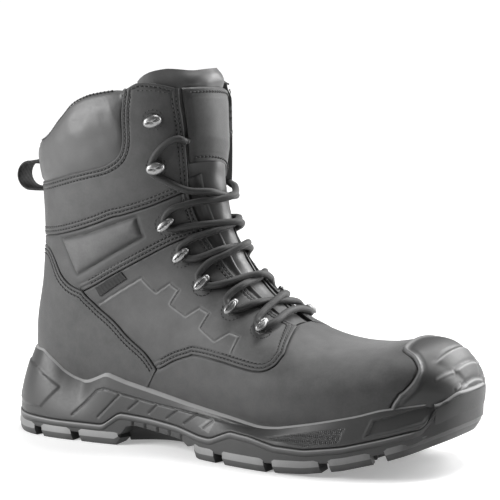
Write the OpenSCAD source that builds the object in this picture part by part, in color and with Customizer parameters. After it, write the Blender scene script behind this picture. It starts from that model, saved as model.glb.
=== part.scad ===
// Safety work boot, right foot, tall laced shaft.
// +X points to the toe, -Y is the outer side of the foot, +Z is up.
// The origin is the middle of the heel where it meets the ground.

/* [Upper] */
// Thickness of the outer leather
leather_t = 1.8; // [1.4:0.1:2.2]
// Thickness of the lining fabric
lining_t = 1.2; // [0.8:0.1:1.4]
// Depth of the lining's outer face under the outer leather's outer face
lining_depth = 5.2; // [5:0.1:5.6]
// Thickness of the padding and stiffener layer
padding_t = 2.3; // [2:0.1:2.5]

/* [Tongue] */
// Thickness of the tongue
tongue_t = 6; // [5:0.5:7]
// How far the lower tongue's ridge lies under the upper's front line
tongue_depth = 1.5; // [1.2:0.1:2]
// How far the tongue's edges sink under the facings
tongue_sink = 5.5; // [5:0.5:6.5]
// Depth of the upper tongue's face behind the lace keeper
keeper_depth = 5; // [4.8:0.1:5.4]
// Thickness of the lace keeper
keeper_t = 1.2; // [1:0.1:1.6]

/* [Toe protection] */
// Wall of the steel toe cap
steel_cap_t = 2.2; // [1.8:0.1:2.4]
// Depth of the steel toe cap's outer face
steel_cap_depth = 2.6; // [2.5:0.1:2.8]
// Thickness of the moulded toe bumper
bumper_t = 2.3; // [2:0.1:2.4]

/* [Sole] */
// Depth of the grooves between the lugs
lug_depth = 5; // [4:0.5:6]
// Width of the grooves between the lugs
groove_w = 5; // [3.5:0.5:6]
// Width of the outsole's raised rim
rim_w = 4; // [3:0.5:5]
// Thickness of the penetration-resistant plate
plate_t = 0.9; // [0.6:0.1:1]
// Thickness of the insole board
board_t = 2; // [1.6:0.1:2.2]
// Thickness of the removable footbed
footbed_t = 4; // [3:0.5:5]

/* [Lace and hardware] */
// Radius of the round lace
lace_r = 1.9; // [1.6:0.1:2]
// Radius of the wire of a lace loop
loop_wire_r = 1.1; // [0.9:0.1:1.3]
// Radius of a lace loop's arch, to the middle of the wire
loop_arch_r = 4; // [3.6:0.1:4.4]
// Radius of a hook's cap
hook_cap_r = 4.6; // [4:0.1:5]
// Radius of the washer behind each loop and hook
washer_r = 4.2; // [3.8:0.1:4.6]
// Radius of the rivet that holds each loop and hook
rivet_r = 1.3; // [1:0.1:1.5]

/* [Pull loop] */
// Width of the webbing
webbing_w = 16; // [12:1:18]
// Thickness of the webbing
webbing_t = 1.6; // [1.2:0.1:2]

/* [Hidden] */

// The upper's skin is a stack of closed sections, from the toe tip (station 0) to the
// collar (station 17). Each section fans round from upright at the toe to nearly level at
// the collar. A row holds: front x, front z, back x, back z, middle y, outer half width,
// inner half width, squareness of the front half, squareness of the back half.
LAST = [
    [271, 44, 271, 40, 9, 1, 1, 2.0, 2.0],
    [268, 60, 268, 30, 9, 21, 20, 2.0, 2.2],
    [257, 73.5, 257, 27, 8, 36, 32, 2.1, 2.6],
    [240, 77, 239, 24, 6, 45, 40, 2.2, 3.0],
    [214, 72.5, 213, 20, 3, 52, 46, 2.3, 3.2],
    [190, 73, 187, 17, 0, 54, 50, 2.2, 3.2],
    [170, 78, 160, 16, -2, 53, 50, 2.1, 3.2],
    [150, 88, 128, 18, -3, 48, 46, 2.1, 3.0],
    [135, 100, 94, 21, -3, 43, 41, 2.1, 2.8],
    [122, 114, 54, 23, -2, 39, 37, 2.1, 2.6],
    [112, 132, 6, 24, -1, 37, 35, 2.1, 2.4],
    [107, 148, -25, 32, 0, 37, 35, 2.2, 2.2],
    [104.5, 163, -29, 62, 0, 38, 36, 2.2, 2.2],
    [103.5, 178, -23.5, 95, 0, 39, 38, 2.2, 2.2],
    [102.5, 192, -21, 125, 0, 41, 40, 2.2, 2.2],
    [101.5, 206, -21.5, 155, 0, 43, 42, 2.2, 2.2],
    [100, 220, -23, 184, 0, 46, 45, 2.2, 2.2],
    [98, 234, -14, 212, 0, 45, 44, 2.2, 2.2]];

// Seam lines on the skin, as [station, angle]. The angle runs round a section from the
// front line at 0, over the outer side, to the back or bottom line at 180.
FACING_EDGE_LOW = [[6.4, 11], [7.6, 17], [8.5, 20.5], [9.2, 24], [10, 27.5], [10.6, 30.5]];
FACING_EDGE_HIGH = [[16.4, 36.5], [14, 36.5], [12.4, 36.5]];
QUARTER_LINE = [[6.05, 45], [6.3, 70], [7.5, 83], [8.5, 92], [8.9, 106]];
COUNTER_LOW = [[8.9, 106], [9.4, 98], [10.35, 93], [11.1, 94.5], [11.75, 101]];
COUNTER_HIGH = [[11.75, 101], [12.6, 119], [13.45, 137], [13.75, 160], [13.8, 180]];
ANKLE_LOW = [[10.6, 30.5], [11, 50], [11.3, 70], [11.75, 101]];
BAND_LOW = [[12.4, 36.5], [12.65, 60], [12.95, 78], [13.2, 91], [13.8, 137], [14.1, 180]];
COLLAR_SEAM = [[16.8, 72], [15.7, 70.5], [14.6, 74], [14.38, 82], [14.48, 96], [14.6, 110],
               [14.75, 135], [15, 180]];
COLLAR_RIM = [[16.82, 75], [16.85, 82], [16.86, 90], [16.85, 98], [16.72, 109], [16.4, 118],
              [16.05, 135], [16.1, 180]];
TOE_LINE = [[3.3, 0], [3.2, 28], [2.75, 44], [2.54, 60], [2.6, 78], [3.03, 95], [3.1, 120],
            [3.1, 180]];

// Lace rows from the throat up, as [station, angle]: five loops, then two hooks.
LOOPS = [[6.97, 39], [8.1, 45], [9.3, 48.5], [10.4, 49.5], [11.75, 53.5]];
HOOKS = [[13.86, 57.5], [15.5, 56]];
ROWS = concat(LOOPS, [HOOKS[0]]);
// Stations at which the lace crosses the front line, between two rows.
LACE_MIDDLES = [7.45, 8.45, 9.6, 10.4, 11.5];

// Plan outlines of the sole, as [x, y]: outer wall, and the two steps of the recess that
// the upper sits in.
SOLE_PLAN = [[-40, 0], [-37.5, -16.5], [-23, -33], [0, -39.5], [30, -39.5], [60, -38],
             [90, -41.5], [120, -50], [150, -56.5], [178, -58.5], [205, -55.5], [230, -48],
             [250, -38], [264, -26], [271, -12], [273.5, 6], [272, 22], [265, 37],
             [250, 46], [230, 51.5], [205, 54], [178, 54], [148, 50.5], [118, 44.5],
             [88, 37.5], [58, 35], [28, 36.5], [0, 36.5], [-23, 30], [-37.5, 16]];
RECESS_PLAN = [[-31, 0], [-28.5, -12], [-18, -25.5], [0, -32], [30, -35], [60, -36.6],
               [90, -39.6], [120, -46.8], [150, -51.4], [178, -55.2], [205, -53.4],
               [228, -46.4], [246, -38.6], [258, -30.8], [266, -22.6], [270.5, -14],
               [271.9, 8], [270.5, 29], [266, 36], [258, 41.6], [246, 46], [228, 49.2],
               [205, 51], [178, 50.8], [150, 46.4], [120, 40], [90, 34.4], [60, 31.4],
               [30, 30.6], [0, 29.4], [-18, 23.6], [-28.5, 11]];
CRADLE_PLAN = [[-25, 0], [-22, -11], [0, -20], [40, -25], [80, -30], [120, -37.5],
               [160, -44], [200, -44], [240, -31.5], [260, -20.5], [268.5, -8], [270, 12],
               [268, 26], [258, 34], [240, 39.5], [200, 42.5], [160, 38], [120, 30],
               [80, 23.5], [40, 20.5], [0, 17.5], [-22, 9]];

// Side lines of the sole, as [x, z] from heel to toe.
TREAD = [[-43, 5.4], [-34, 1.2], [-27, 0], [50, 0], [53, 11], [60, 13], [98, 9], [107, 3],
         [112, 0], [165, 0], [190, 1.4], [213, 5], [235, 10.7], [250, 15.7], [262, 20.5],
         [275, 26]];
CORE_TOP = [[-43, 10], [40, 10], [60, 15.5], [100, 13], [115, 10], [160, 9.5], [190, 10.5],
            [213, 13.5], [240, 18], [257, 22], [275, 28]];
MID_LINE = [[-43, 13], [0, 12], [38, 12], [50, 20.5], [72, 19.5], [95, 17.5], [113, 14.5],
            [122, 14.2], [138, 21], [153, 20], [170, 16.5], [190, 16], [213, 19.3],
            [235, 25], [256, 32], [262, 42], [275, 46]];
CUP_LINE = [[-43, 54], [-16, 54], [-5, 48], [3, 42.5], [11, 39], [20, 37], [25, 38.5],
            [40, 45], [55, 41], [71, 38], [102, 32.5], [133, 28.5], [152, 25.5], [160, 25.5],
            [169, 26.5], [194, 31.5], [221, 37.5], [234, 41.5], [256, 45], [275, 47]];
FLOOR_LINE = [[-43, 32], [-25, 27], [6, 20.4], [54, 19.4], [94, 17.4], [128, 14.4],
              [160, 12.4], [187, 13.4], [213, 16.4], [239, 20.4], [257, 23.6], [275, 28]];
CRADLE_TOP = [[-43, 34], [-25, 30.5], [6, 27], [54, 27.6], [94, 25.6], [128, 22.6],
              [160, 20.6], [187, 21.6], [213, 24.6], [239, 28.6], [257, 31.6], [275, 36]];

// Gaps between neighbouring panels, as a part of a station and as an angle.
seam_gap = 0.05;
seam_gap_angle = 0.9;
// Where the outsole's toe guard takes over from the midsole's wall, and the height of the
// ribs under the arch.
toe_guard_x = 261;
rib_h = 5.5;

// Places of the moving pieces.
tongue_split = 12.9;
keeper_low = 13;
keeper_high = 16.4;
tongue_half_angle = 33;
pull_loop_top_z = 171;
pull_loop_bottom_z = 152;
pull_loop_front_x = -29;
pull_loop_back_x = -45;
// Gap between the leather and the padding behind it.
padding_gap = 0.6;
// Heights of the loops and hooks on the skin, and of the washers behind them.
hardware_lift = 0.3;
washer_depth = 3.4;
washer_t = 0.8;

// ---- Curves ----

function blend4(a, b, c, d, t) =
    0.5 * (2 * b + (c - a) * t + (2 * a - 5 * b + 4 * c - d) * t * t
           + (3 * b - a - 3 * c + d) * t * t * t);

function wrapped(list, i) = list[(i + len(list)) % len(list)];

// A closed smooth line through the points of a list, with some steps between them.
function closed_curve(list, steps) =
    [for (i = [0 : len(list) - 1], j = [0 : steps - 1])
        blend4(wrapped(list, i - 1), list[i], wrapped(list, i + 1), wrapped(list, i + 2),
               j / steps)];

function held(list, i) =
    i < 0 ? 2 * list[0] - list[1]
    : i >= len(list) ? 2 * list[len(list) - 1] - list[len(list) - 2]
    : list[i];

// A point of an open smooth line, where t counts the list's points.
function smooth_at(list, t) =
    let (i = min(max(floor(t), 0), len(list) - 2))
    blend4(held(list, i - 1), list[i], list[i + 1], held(list, i + 2), t - i);

// A point of a plain polyline, where t runs from 0 to 1.
function line_at(list, t) =
    let (f = t * (len(list) - 1), i = min(floor(f), len(list) - 2))
    list[i] + (list[i + 1] - list[i]) * (f - i);

function mix(a, b, t) = a + (b - a) * t;

function reversed(list) = [for (i = [len(list) - 1 : -1 : 0]) list[i]];

// The same seam line on the inner side of the foot, counted round the front or the back.
function over_front(list) = [for (p = list) [p[0], -p[1]]];
function over_back(list) = [for (p = list) [p[0], 360 - p[1]]];

// ---- Skin of the upper ----

function spread(c, n) = sign(c) * pow(abs(c), 2 / n);

function skin(u, v) =
    let (s = smooth_at(LAST, u), c = cos(v), k = sin(v), n = c > 0 ? s[7] : s[8],
         w = k > 0 ? s[5] : s[6], t = (spread(c, n) + 1) / 2)
    [s[2] + (s[0] - s[2]) * t, s[4] - spread(k, n) * w, s[3] + (s[1] - s[3]) * t];

function unit(p) = p / norm(p);

function skin_normal(u, v) =
    unit(cross(skin(u + 0.05, v) - skin(u - 0.05, v), skin(u, v + 1.5) - skin(u, v - 1.5)));

// A point at a depth d outside the skin (negative inside).
function layer(u, v, d) = skin(u, v) + d * skin_normal(u, v);

// ---- Sheet solids on the skin ----

// A closed sheet over a grid of [station, angle] places, between two depths, which are
// functions of the place. rows run along the first index of the grid.
module sheet(grid, inner, outer, ring = false) {
    rows = len(grid);
    cols = len(grid[0]);
    side = rows * cols;
    top = [for (r = grid, p = r) layer(p[0], p[1], outer(p[0], p[1]))];
    low = [for (r = grid, p = r) layer(p[0], p[1], inner(p[0], p[1]))];
    spans = ring ? cols : cols - 1;
    mid = [floor(rows / 2) - 1, floor(cols / 2)];
    function at(r, c) = r * cols + c % cols;
    first = top[at(mid[0], mid[1])];
    turned = cross(top[at(mid[0] + 1, mid[1])] - first, top[at(mid[0], mid[1] + 1)] - first)
             * skin_normal(grid[mid[0]][mid[1]][0], grid[mid[0]][mid[1]][1]) > 0;
    faces = concat(
        [for (r = [0 : rows - 2], c = [0 : spans - 1])
            each [[at(r, c), at(r + 1, c), at(r + 1, c + 1)],
                  [at(r, c), at(r + 1, c + 1), at(r, c + 1)]]],
        [for (r = [0 : rows - 2], c = [0 : spans - 1])
            each [[side + at(r, c), side + at(r + 1, c + 1), side + at(r + 1, c)],
                  [side + at(r, c), side + at(r, c + 1), side + at(r + 1, c + 1)]]],
        [for (c = [0 : spans - 1])
            each [[at(0, c), at(0, c + 1), side + at(0, c + 1)],
                  [at(0, c), side + at(0, c + 1), side + at(0, c)],
                  [at(rows - 1, c + 1), at(rows - 1, c), side + at(rows - 1, c)],
                  [at(rows - 1, c + 1), side + at(rows - 1, c), side + at(rows - 1, c + 1)]]],
        ring ? [] : [for (r = [0 : rows - 2])
            each [[at(r + 1, 0), at(r, 0), side + at(r, 0)],
                  [at(r + 1, 0), side + at(r, 0), side + at(r + 1, 0)],
                  [at(r, cols - 1), at(r + 1, cols - 1), side + at(r + 1, cols - 1)],
                  [at(r, cols - 1), side + at(r + 1, cols - 1), side + at(r, cols - 1)]]]);
    polyhedron(points = concat(top, low),
               faces = turned ? [for (f = faces) reversed(f)] : faces);
}

// Places ruled between two seam lines.
function ruled(a, b, along, across) =
    [for (i = [0 : along]) [for (j = [0 : across])
        mix(line_at(a, i / along), line_at(b, i / along), j / across)]];

// Places all the way round, between a low and a high seam line over the outer half,
// which the inner half mirrors.
function round_grid(low, high, along, around) =
    [for (i = [0 : along]) [for (j = [0 : around - 1])
        let (h = j / around * 2, t = h <= 1 ? h : 2 - h,
             p = mix(line_at(low, t), line_at(high, t), i / along))
        [p[0], h <= 1 ? p[1] : -p[1]]]];

// Two of the same, one for each side of the foot.
function side_places(grid, medial) =
    medial ? [for (r = grid) reversed([for (p = r) [p[0], -p[1]]])] : grid;

function ring_at(u) = [[u, 0], [u, 60], [u, 120], [u, 180]];

module leather_sheet(grid, ring = false) {
    sheet(grid, function (u, v) -leather_t, function (u, v) 0, ring);
}

module padding_sheet(grid, ring = false) {
    sheet(grid, function (u, v) -leather_t - padding_gap - padding_t,
          function (u, v) -leather_t - padding_gap, ring);
}

module lining_sheet(grid, ring = false) {
    sheet(grid, function (u, v) -lining_depth - lining_t,
          function (u, v) -lining_depth, ring);
}

// ---- Upper ----

module vamp() {
    seam_line = concat([[6.4, 0], [6.4, 11]], QUARTER_LINE, [[8.9, 130], [8.9, 180]]);
    far_edge = [for (p = seam_line) [p[0] - 2 * seam_gap, p[1]]];
    near_edge = [for (p = far_edge)
        [lookup(p[1], [for (q = TOE_LINE) [q[1], q[0]]]) + 4 * seam_gap, p[1]]];
    color("dimgray") leather_sheet(round_grid(near_edge, far_edge, 12, 36), ring = true);
}

module toe_bumper() {
    tip = [for (p = TOE_LINE) [0.04, p[1]]];
    color("darkslategray")
        sheet(round_grid(tip, TOE_LINE, 8, 42), function (u, v) -bumper_t,
              function (u, v) 0, ring = true);
}

module vamp_lining() {
    color("slategray") lining_sheet(round_grid(ring_at(0.5), ring_at(6.1), 14, 24), ring = true);
}

// Beside the tongue's wings, where there is no padding, the lining lies nearer the leather.
function shaft_lining_depth(u, v) =
    let (beside_wings = lookup(min(v, 360 - v), [[60, 1], [76, 0]]) * lookup(u, [[12.5, 0], [14, 1]]))
    mix(lining_depth, 4.3, beside_wings);

module shaft_lining() {
    front_edge = [[6.2, 13], [7.6, 18.5], [8.5, 22], [9.2, 25.5], [10.6, 32], [12.4, 38],
                  [14.4, 38], [16.4, 38]];
    rows = 22;
    grid = [for (i = [0 : rows]) let (p = line_at(front_edge, i / rows))
        [for (j = [0 : 24]) let (v = mix(p[1], 360 - p[1], j / 24),
                                 sag = 0.4 * i / rows * pow(sin(v / 2), 4))
            [p[0] - sag, v]]];
    color("slategray")
        sheet(grid, function (u, v) -shaft_lining_depth(u, v) - lining_t,
              function (u, v) -shaft_lining_depth(u, v));
}

module quarter(medial) {
    lower = concat(QUARTER_LINE, [for (i = [1 : 4]) COUNTER_LOW[i]]);
    color("dimgray")
        leather_sheet(side_places(ruled(FACING_EDGE_LOW, lower, 16, 5), medial));
}

module quarter_lateral() {
    quarter(false);
}

module quarter_medial() {
    quarter(true);
}

module heel_counter() {
    edge = [for (p = concat([[8.95, 160], [8.9, 124]], COUNTER_LOW,
                            [for (i = [1 : 3]) COUNTER_HIGH[i]]))
        [p[0], p[1] + seam_gap_angle]];
    color("dimgray") leather_sheet(ruled(edge, over_back(edge), 16, 12));
}

module ankle_panel(medial) {
    low = concat(ANKLE_LOW, [for (i = [1 : 4]) COUNTER_HIGH[i]]);
    high = [for (i = [0 : 7]) let (p = line_at(BAND_LOW, i / 7)) [p[0] - 2 * seam_gap, p[1]]];
    color("gray") leather_sheet(side_places(ruled(low, high, 21, 4), medial));
}

module ankle_panel_lateral() {
    ankle_panel(false);
}

module ankle_panel_medial() {
    ankle_panel(true);
}

module ankle_pad(medial) {
    front = [[11.9, 67], [12.6, 71]];
    back = [[12.3, 101], [13.4, 119]];
    color("dimgray") padding_sheet(side_places(ruled(front, back, 3, 5), medial));
}

module ankle_pad_lateral() {
    ankle_pad(false);
}

module ankle_pad_medial() {
    ankle_pad(true);
}

module facing(medial) {
    inner = concat(FACING_EDGE_HIGH, [for (i = [1 : 5]) BAND_LOW[i]]);
    color("dimgray") leather_sheet(side_places(ruled(inner, COLLAR_SEAM, 21, 3), medial));
}

module facing_lateral() {
    facing(false);
}

module facing_medial() {
    facing(true);
}

module collar_cover() {
    low = concat(COLLAR_SEAM, reversed(over_back([for (i = [0 : 6]) COLLAR_SEAM[i]])));
    high = concat(COLLAR_RIM, reversed(over_back([for (i = [0 : 6]) COLLAR_RIM[i]])));
    color("gray") leather_sheet(ruled(low, high, 56, 6));
}

module collar_padding() {
    low = [[15, 78], [14.9, 110], [15.2, 180], [14.9, 250], [15, 282]];
    high = [[16.7, 80], [16.5, 110], [15.95, 180], [16.5, 250], [16.7, 280]];
    color("darkkhaki") padding_sheet(ruled(low, high, 24, 6));
}

module heel_stiffener() {
    low = [[11.4, 106], [11.4, 254]];
    high = [[12.1, 108], [12.9, 145], [13, 180], [12.9, 215], [12.1, 252]];
    color("black") padding_sheet(ruled(low, high, 12, 4));
}

// Depth of the lower tongue's face, which sinks towards its edges.
function tongue_face(v) = tongue_depth + tongue_sink * pow(v / tongue_half_angle, 2);

module tongue_lower() {
    grid = [for (i = [0 : 10]) [for (j = [0 : 8])
        let (u = mix(6.5, tongue_split, i / 10),
             half = lookup(u, [[6.5, 12], [8, 20], [10, 28], [12, tongue_half_angle]]))
        [u, mix(-half, half, j / 8)]]];
    color("gray")
        sheet(grid, function (u, v) -tongue_face(v) - tongue_t,
              function (u, v) -tongue_face(v));
}

module gusset(medial) {
    front = [[6.9, 8], [8.7, 12], [10, 14.5], [11.5, 20], [12.7, 23]];
    back = [[6.9, 11], [8.7, 20], [10, 26], [11.5, 30], [12.7, 32]];
    face = function (u, v) 0.8 - tongue_face(v);
    color("black")
        sheet(side_places(ruled(front, back, 12, 4), medial),
              function (u, v) face(u, v) - 0.8, face);
}

module gusset_lateral() {
    gusset(false);
}

module gusset_medial() {
    gusset(true);
}

module side_tag() {
    front = [[11.1, 78.5], [11.4, 80.5]];
    back = [[11.25, 91.5], [11.55, 93]];
    color("black")
        sheet(ruled(front, back, 1, 4), function (u, v) 0.3, function (u, v) 1.1);
}

// ---- Toe, board and plate inside ----

module steel_toe_cap() {
    rear = [[3.6, 0], [3.55, 60], [3.45, 124]];
    tip = [[0.3, 0], [0.3, 60], [0.3, 124]];
    low = concat(reversed(over_front(tip)), tip);
    high = concat(reversed(over_front(rear)), rear);
    color("silver")
        sheet(ruled(low, high, 20, 6), function (u, v) -steel_cap_depth - steel_cap_t,
              function (u, v) -steel_cap_depth);
}

module toe_cap_edge_strip() {
    front = [[3.66, -110], [3.66, 110]];
    rear = [[4, -110], [4, 110]];
    color("black")
        sheet(ruled(front, rear, 16, 1), function (u, v) -steel_cap_depth - steel_cap_t,
              function (u, v) -steel_cap_depth);
}

// A flat sheet under the foot, from heel to toe, between two depths.
module underfoot(first, last, half, inner, outer, along) {
    grid = [for (i = [0 : along]) let (u = mix(first, last, i / along))
        [for (j = [0 : 12]) [u, mix(180 - half, 180 + half, j / 12)]]];
    sheet(grid, function (u, v) inner, function (u, v) outer);
}

module insole_board() {
    color("beige")
        underfoot(0.9, 10.9, 47, -leather_t - 0.9 - board_t, -leather_t - 0.9, 20);
}

module penetration_plate() {
    color("silver") underfoot(1.7, 10.1, 28, 0.4, 0.4 + plate_t, 14);
}

module shank() {
    color("silver") underfoot(8, 9.9, 8, 0.7 + plate_t, 1.9 + plate_t, 5);
}

module footbed() {
    outer_depth = lining_depth + lining_t + 1.2;
    color("black") underfoot(1.5, 10.3, 44, -outer_depth - footbed_t, -outer_depth, 20);
}

// ---- Sole ----

// Everything between two side lines, as wide as any boot.
module between(low, high) {
    rotate([90, 0, 0]) translate([0, 0, -100]) linear_extrude(200)
        polygon(concat(low, reversed(high)));
}

module plan(points, inset = 0) {
    middle = [120, 0];
    translate([0, 0, -5]) linear_extrude(90)
        polygon([for (p = closed_curve(points, 2)) p - inset * unit(p - middle)]);
}

module groove(x, y, length, turn, width = groove_w) {
    translate([x, y, lookup(x, TREAD) + lug_depth - 20]) rotate([0, 0, turn])
        translate([-width / 2, -length / 2, 0]) cube([width, length, 20]);
}

module outsole() {
    cross_grooves = [128, 165.5, 201.5, 232];
    heel_grooves = [-11.5, 17.5];
    color("gray") difference() {
        intersection() {
            plan(SOLE_PLAN);
            between(TREAD, MID_LINE);
        }
        intersection() {
            plan(SOLE_PLAN, rim_w);
            between(CORE_TOP, [for (p = MID_LINE) [p[0], 80]]);
        }
        recess();
        for (x = cross_grooves) {
            groove(x, -34, 56, -12);
            groove(x + 2, 32, 56, 14);
        }
        for (x = heel_grooves) {
            groove(x, -30, 30, 0);
            groove(x, 30, 30, 0);
        }
        groove(26, -38, 14, 0, 1.6);
        groove(10, -14, 76, 90, 4);
        groove(10, 14, 76, 90, 4);
        groove(147, -22, 34, 90, 4);
        groove(147, 22, 34, 90, 4);
        groove(184, -22, 34, 90, 4);
        groove(184, 22, 34, 90, 4);
    }
    color("gray") intersection() {
        plan(SOLE_PLAN, rim_w);
        for (x = [62 : 8 : 94])
            translate([x, -24, lookup(x, TREAD) + 1.5 - rib_h]) cube([3, 48, rib_h]);
    }
}

// The room in the sole for the upper, in two steps.
module recess() {
    intersection() {
        plan(CRADLE_PLAN);
        between(FLOOR_LINE, [for (p = FLOOR_LINE) [p[0], 84]]);
    }
    intersection() {
        plan(RECESS_PLAN);
        between(CRADLE_TOP, [for (p = CRADLE_TOP) [p[0], 84]]);
    }
}

module midsole() {
    color("dimgray") difference() {
        intersection() {
            union() {
                intersection() {
                    plan(SOLE_PLAN);
                    between(MID_LINE, CUP_LINE);
                    translate([toe_guard_x - 400, -200, 0]) cube([400, 400, 100]);
                }
                intersection() {
                    plan(SOLE_PLAN, rim_w);
                    between(CORE_TOP, CUP_LINE);
                }
            }
        }
        recess();
    }
}

// ---- Lace and its hardware ----

// Stands what follows on the skin, with its own Z along the skin's outward direction.
module stand_on_skin(u, v, d) {
    n = skin_normal(u, v);
    translate(layer(u, v, d)) rotate([0, acos(n[2]), atan2(n[1], n[0])]) children();
}

module rivet() {
    length = hardware_lift + washer_depth;
    translate([0, 0, -length]) cylinder(r = rivet_r, h = length, $fn = 32);
}

module lace_loop() {
    foot_r = 3.2;
    foot_t = 1;
    linear_extrude(foot_t) {
        translate([0, -loop_arch_r]) circle(r = foot_r, $fn = 32);
        translate([0, loop_arch_r]) circle(r = foot_r, $fn = 32);
        square([2 * foot_r, 2 * loop_arch_r], center = true);
    }
    rivet();
    translate([0, 0, foot_t]) rotate([90, 0, 90]) rotate_extrude(angle = 180, $fn = 48)
        translate([loop_arch_r, 0]) circle(r = loop_wire_r, $fn = 24);
}

module lace_hook() {
    base_t = 1;
    post_h = 4;
    rivet();
    cylinder(r = hook_cap_r + 0.4, h = base_t, $fn = 40);
    translate([0, 2, 0]) cylinder(r = 1.8, h = base_t + post_h, $fn = 32);
    translate([0, 0, base_t + post_h]) cylinder(r = hook_cap_r, h = 1.2, $fn = 40);
}

module along_rows(rows, medial, d) {
    turn = medial ? -1 : 1;
    for (p = rows)
        stand_on_skin(p[0], turn * p[1], d) children();
}

module lace_loops_lateral() {
    color("slategray") along_rows(LOOPS, false, hardware_lift) lace_loop();
}

module lace_loops_medial() {
    color("slategray") along_rows(LOOPS, true, hardware_lift) lace_loop();
}

module lace_hooks_lateral() {
    color("slategray") along_rows(HOOKS, false, hardware_lift) lace_hook();
}

module lace_hooks_medial() {
    color("slategray") along_rows(HOOKS, true, hardware_lift) rotate([0, 0, 180]) lace_hook();
}

module washer() {
    difference() {
        cylinder(r = washer_r, h = washer_t, $fn = 40);
        translate([0, 0, -1]) cylinder(r = rivet_r, h = washer_t + 2, $fn = 32);
    }
}

module washers_lateral() {
    color("silver") along_rows(concat(LOOPS, HOOKS), false, -washer_depth) washer();
}

module washers_medial() {
    color("silver") along_rows(concat(LOOPS, HOOKS), true, -washer_depth) washer();
}

// A round tube through points, with flat ends.
module tube(path, r, sides) {
    count = len(path);
    function heading(i) = unit(path[min(i + 1, count - 1)] - path[max(i - 1, 0)]);
    function ring(i) =
        let (h = heading(i), a = unit(cross(h, [0.3, 0.2, 1])), b = cross(h, a))
        [for (k = [0 : sides - 1])
            path[i] + r * (cos(k * 360 / sides) * a + sin(k * 360 / sides) * b)];
    points = [for (i = [0 : count - 1]) each ring(i)];
    polyhedron(points = points, faces = concat(
        [for (i = [0 : count - 2], k = [0 : sides - 1])
            let (m = (k + 1) % sides)
            each [[i * sides + k, (i + 1) * sides + k, (i + 1) * sides + m],
                  [i * sides + k, (i + 1) * sides + m, i * sides + m]]],
        [for (k = [1 : sides - 2]) [0, k, k + 1]],
        [for (k = [1 : sides - 2]) let (e = (count - 1) * sides) [e, e + k + 1, e + k]]));
}

// One crossing from row k on one side to row k + 1 on the other. It leaves its loop
// upwards, bends over the tongue, and comes up into the next loop from below.
function crossing(k, from_side, lift) =
    let (start = ROWS[k], stop = ROWS[k + 1], middle = LACE_MIDDLES[k])
    concat([for (p = [[0.08, 1], [0.27, 0.97], [0.33, 0.8]])
                layer(start[0] + p[0], from_side * p[1] * start[1], 2.9)],
           [layer(middle, 0, lift)],
           [for (p = [[0.3, 0.5], [0.72, 0.87], [0.94, 1]])
                layer(mix(middle, stop[0], p[0]), -from_side * p[1] * stop[1], 2.9)]);

// One half of the lace, from its first loop up to its hook.
function half_lace(start_side, lift) =
    [for (k = [0 : len(ROWS) - 2]) each crossing(k, start_side * pow(-1, k), lift)];

function lace_end(side) =
    [layer(14.15, side * 56, 3.2), layer(14.5, side * 48, 4.4), layer(14.4, side * 41, 3.6),
     layer(14.3, side * 36.5, 2.7)];

function lace_tail(side) =
    [layer(14.3, side * 34, 0.1), layer(14.35, side * 27, -2.1),
     layer(14.5, side * 18, -2.6), layer(14.6 + side * 0.35, side * 10, -2.6)];

module lace() {
    bar = [for (v = [30, 12, 0, -12, -30]) layer(6.6, v, abs(v) < 20 ? 0.8 : 2.6)];
    half_one = concat(half_lace(1, 4.9), lace_end(-1 * pow(-1, len(ROWS))));
    half_two = concat(half_lace(-1, 1), lace_end(pow(-1, len(ROWS))));
    route = concat(reversed(half_one), bar, half_two);
    rings = 160;
    color("black")
        tube([for (i = [0 : rings]) smooth_at(route, i / rings * (len(route) - 1))],
             lace_r, 8);
}

module lace_tails() {
    color("black") for (side = [-1, 1])
        tube([for (i = [0 : 7]) smooth_at(lace_tail(side), i / 7 * 3)], lace_r, 8);
}

module aglets() {
    color("black") for (side = [-1, 1]) {
        start = layer(14.6 + side * 0.35, side * 9, -2.6);
        stop = layer(14.7 + side * 0.45, -side * 6, -2.6);
        way = unit(stop - start);
        translate(start) rotate([0, acos(way[2]), atan2(way[1], way[0])])
            cylinder(r = lace_r + 0.1, h = norm(stop - start), $fn = 32);
    }
}

// ---- Tongue top ----

// Half the tongue's width as an angle: its padded top spreads behind the facings.
function wing_angle(u) =
    lookup(u, [[tongue_split, tongue_half_angle], [15.2, tongue_half_angle + 1], [15.8, 56],
               [17, 55]]);

module tongue_top() {
    grid = [for (i = [0 : 12]) let (u = mix(tongue_split + 0.05, 17, i / 12))
        [for (j = [0 : 14]) [u, mix(-wing_angle(u), wing_angle(u), j / 14)]]];
    face = function (u, v)
        -lookup(u, [[tongue_split, 3], [13.2, keeper_depth], [16.2, keeper_depth],
                    [16.6, 2], [17, 3]])
        - min(3, 3 * pow(v / tongue_half_angle, 2))
        - lookup(abs(v), [[34, 0], [44, lookup(u, [[16, 1.4], [17, 3.4]])]]);
    color("gray")
        sheet(grid, function (u, v) face(u, v) - tongue_t, face);
}

module lace_keeper() {
    stations = [keeper_low, keeper_low + 0.2, keeper_low + 0.3, 13.6, 14.2, 15.1, keeper_high - 0.3,
                keeper_high - 0.2, keeper_high];
    grid = [for (u = stations) [for (j = [0 : 8]) [u, mix(-31, 31, j / 8)]]];
    hem = function (u) u < keeper_low + 0.25 || u > keeper_high - 0.25;
    face = function (u) -lookup(u, [[keeper_low, 1.9], [13.6, 1.9], [14.2, 0]]);
    color("dimgray")
        sheet(grid,
              function (u, v) face(u) - (hem(u) ? 2.2 + 0.5 * pow(v / 31, 2) : keeper_t),
              function (u, v) face(u));
}

// ---- Pull loop ----

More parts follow.
